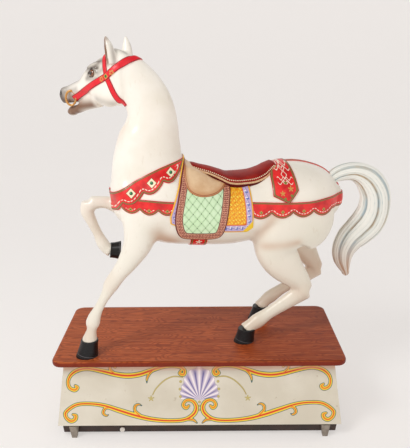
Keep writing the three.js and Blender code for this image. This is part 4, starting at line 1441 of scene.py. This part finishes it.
def hooves_made():
    parts, shares = [], []
    flare = np.array([0, 0, 0, 1, 1])
    for leg in LEGS.values():
        top, sole = [np.array(r, float) for r in leg["hoof"]]
        lift = np.array([0, 0, 6, 0, 0]) if "axis" not in leg else 0
        down = sole - top
        rings = [top + lift, top + 1.6 * flare, top + 0.12 * down + 0.6 * flare,
                 top + 0.5 * down - 0.6 * flare, sole - 0.06 * down, sole]
        axis = leg.get("axis", (0, 0, -1))
        points, faces = loft(rings, sides=44, steps=3, ends=(0, 0), axis=axis)
        parts.append((points, faces))
        away = (points - top[:3] / 1000) @ down[:3] * 1000 / (down[:3] @ down[:3])
        shares.append(np.clip(away, 0, 1))
    points, faces = merged(parts)
    share = np.concatenate(shares)
    return fitted_piece("hooves", points, faces, points, hoof_paint(), share=share)


def seat_made():
    sides = 56
    points, faces = loft(SEAT, sides=sides, steps=8, ends=(0.5, 0.5))
    deep = np.sin(by_turn(points, sides, 1.5)) * 0.03
    return fitted_piece("saddle_seat", points, faces, points, seat_paint(), deep=deep)


STUD_TURN = math.radians(24)     # how far up the seat's side its studs sit
STUD_GAP = 0.0088
PIPING_TURN = 0.10
BIT = (-0.254, 1.0745)           # the middle of each bit ring, in the head's side plane
EYE_RADIUS, EYE_DEPTH = 0.0172, 0.0136


def spaced(path, gap):
    """Points at an even spacing along a path."""
    steps = np.linalg.norm(np.diff(path, axis=0), axis=1)
    along = np.append(0, np.cumsum(steps))
    at = np.arange(gap / 2, along[-1], gap)
    return np.stack([np.interp(at, along, path[:, k]) for k in range(path.shape[1])], 1)


def small_piece(name, parts, *finish):
    """Several small turned or bent parts as one piece, in one plain finish."""
    points, faces = merged(parts)
    return mesh_piece(name, on_deck(points), faces, [plain_paint(*finish)])


def studs_made():
    parts = []
    dome, faces = ball((0.0032, 0.0032, 0.0026), rings=4, sides=10, low=0.35)
    for side in (NEAR, FAR):
        turn = STUD_TURN if side == FAR else math.pi - STUD_TURN
        out = (0, side * math.cos(STUD_TURN) * 0.5, math.sin(STUD_TURN))
        for place in spaced(seat_line(turn), STUD_GAP):
            parts.append((facing(dome, place, out), faces))
    return small_piece("seat_studs", parts, "stud_cream", (246, 234, 206), (214, 188, 140),
                       0.3, 0.3, 300)


def piping_made():
    """The rolled edge between the seat and the skirts, on both sides."""
    parts = [rod(seat_line(turn), 0.0042, sides=10)
             for turn in (math.pi - PIPING_TURN, PIPING_TURN)]
    return small_piece("seat_piping", parts, "piping_tan", (228, 194, 152), (196, 146, 100),
                       0.4, 0.1, 120)


def head_side(points, x, z, side):
    """How far out the head's surface is at a place in its side plane."""
    head = to_head(points[points[:, 2] > HEAD_FLOOR, :3])
    near = np.hypot(head[:, 0] - x, head[:, 2] - z) < 0.006
    return (head[near, 1] * side).max() * side


def bit_rings_made(points):
    parts = []
    turn = around(40)
    for side in (NEAR, FAR):
        y = head_side(points, *BIT, side) + side * 0.007
        path = np.stack([BIT[0] + 0.0185 * np.cos(turn), y - 0.010 * side * np.cos(turn),
                         BIT[1] + 0.030 * np.sin(turn)], 1)
        ring, faces = rod(path, 0.0046, sides=12, closed=True)
        parts.append((from_head(ring), faces))
    return small_piece("bit_rings", parts, "bit_gold", (222, 172, 96), (186, 122, 60),
                       0.28, 0.2, 140, 0.25)


def glass_eye(name, side, material):
    points, faces = ball((EYE_RADIUS, EYE_RADIUS, EYE_DEPTH), rings=24, sides=32)
    off = np.hypot(points[:, 0], points[:, 1]) / EYE_RADIUS
    off = np.where(points[:, 2] > 0, off, 1)
    places = from_head(facing(points, (-0.118, side * 0.0470, 1.178), (-0.25, side * 1.0, 0.1)))
    return fitted_piece(name, places, faces, points, material, off_centre=off)


surface = joined(carved_body().surface(), carved_head().surface())
horse = horse_piece(*surface)
tail, hooves, seat = tail_made(), hooves_made(), seat_made()
studs, piping, rings = studs_made(), piping_made(), bit_rings_made(surface[0])
glass = eye_paint()
eye_left, eye_right = [glass_eye("glass_eye_left", NEAR, glass),
                       glass_eye("glass_eye_right", FAR, glass)]
panel = front_panel()
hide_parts("horse")
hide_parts("eye_left")
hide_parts("eye_right")
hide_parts("plinth_panel_front")
for slot, pieces in (("coat", (horse, tail, hooves, seat, studs, piping, rings)),
                     ("eye", (eye_left, eye_right)), ("panel_paint", (panel,))):
    for piece in pieces:
        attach(piece, "root")


# ---------- the plinth ----------

def refinish(node, material):
    for place in bpy.data.objects[node].material_slots:
        place.material = material


refinish("deck", oak_paint())
for side, axis in (("back", 0), ("left", 1), ("right", 1)):
    low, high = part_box("plinth_panel_" + side)
    half = (high[axis] - low[axis]) / 2 - SLANT
    refinish("plinth_panel_" + side,
             bordered_panel_paint(side + "_panel_paint", axis, half, float(MIDDLE[axis])))
rail_dark = plain_paint("rail_dark", (38, 20, 10), (58, 32, 18), 0.35, 0.2, 20)
foot_finish = plain_paint("foot_beech", (150, 140, 128), (108, 98, 88), 0.5, 0.0, 40)
cap_finish = plain_paint("cap_white", (240, 236, 230), (222, 214, 204), 0.3, 0.2, 60)
for side in ("front", "right", "back", "left"):
    refinish("plinth_rail_" + side, rail_dark)
for corner in ("front_left", "front_right", "back_left", "back_right"):
    refinish("foot_" + corner, foot_finish)
refinish("rail_cap", cap_finish)


# ---------- the studio ----------

CAMERA = {"place": (0.029, -2.648, 1.282), "pitch": 16.02, "roll": 0.37, "lens": 49.8}
# Each lamp: name, place, power in watts, size.
LAMPS = [("key", (-2.3, -2.5, 4.0), 80, 1.3), ("fill", (2.6, -2.6, 1.8), 5, 2.0)]
LAMP_AIM = Vector((-0.1, 0, 0.9))
SKY, SKY_STRENGTH = (0.82, 0.80, 0.785, 1), 0.37
PAPER_GLOW = (0.480, 0.462, 0.450, 1)


def camera_and_light():
    data = bpy.data.cameras.new("view")
    data.lens, data.sensor_fit = CAMERA["lens"], "VERTICAL"
    data.sensor_width = data.sensor_height = 36
    camera = bpy.data.objects.new("view", data)
    camera.location = MIDDLE + np.array(CAMERA["place"])
    camera.rotation_mode = "XYZ"
    camera.rotation_euler = (math.radians(90 - CAMERA["pitch"]), 0, 0)
    bpy.context.scene.collection.objects.link(camera)
    roll = Matrix.Rotation(math.radians(-CAMERA["roll"]), 4, "Z")
    camera.matrix_basis = camera.matrix_basis @ roll
    bpy.context.scene.camera = camera
    for name, place, power, size in LAMPS:
        lamp = bpy.data.lights.new(name, "AREA")
        lamp.energy, lamp.size = power, size
        light = bpy.data.objects.new(name, lamp)
        light.location = place
        light.rotation_euler = (LAMP_AIM - Vector(place)).to_track_quat("-Z", "Y").to_euler()
        bpy.context.scene.collection.objects.link(light)
    world = bpy.data.worlds.new("studio")
    world.use_nodes = True
    sky = world.node_tree.nodes["Background"].inputs
    sky[0].default_value, sky[1].default_value = SKY, SKY_STRENGTH
    bpy.context.scene.world = world
    bpy.context.scene.view_settings.view_transform = "Standard"


def sweep():
    """A pale floor that curves up into a wall all round."""
    sides = 96
    turn = around(sides)
    bend = [(6 + 3 * math.sin(a), 3 - 3 * math.cos(a)) for a in np.linspace(0.1, math.pi / 2, 10)]
    rings = [(0.01, 0), (1, 0), (2, 0), (4, 0), (6, 0)] + bend + [(9, 9)]
    rows = [np.stack([radius * np.cos(turn), radius * np.sin(turn), np.full(sides, height)], 1)
            for radius, height in rings]
    faces = tube_faces(len(rows), sides, closed=False)[:, ::-1]
    paint = Paint("studio_paper", (188, 186, 184), 0.9, 0.0)
    paint.surface.inputs["Emission Color"].default_value = PAPER_GLOW
    paint.surface.inputs["Emission Strength"].default_value = 1.0
    return mesh_piece("floor", np.concatenate(rows) + [MIDDLE[0], 0, 0], faces, [paint.material])


camera_and_light()
sweep()
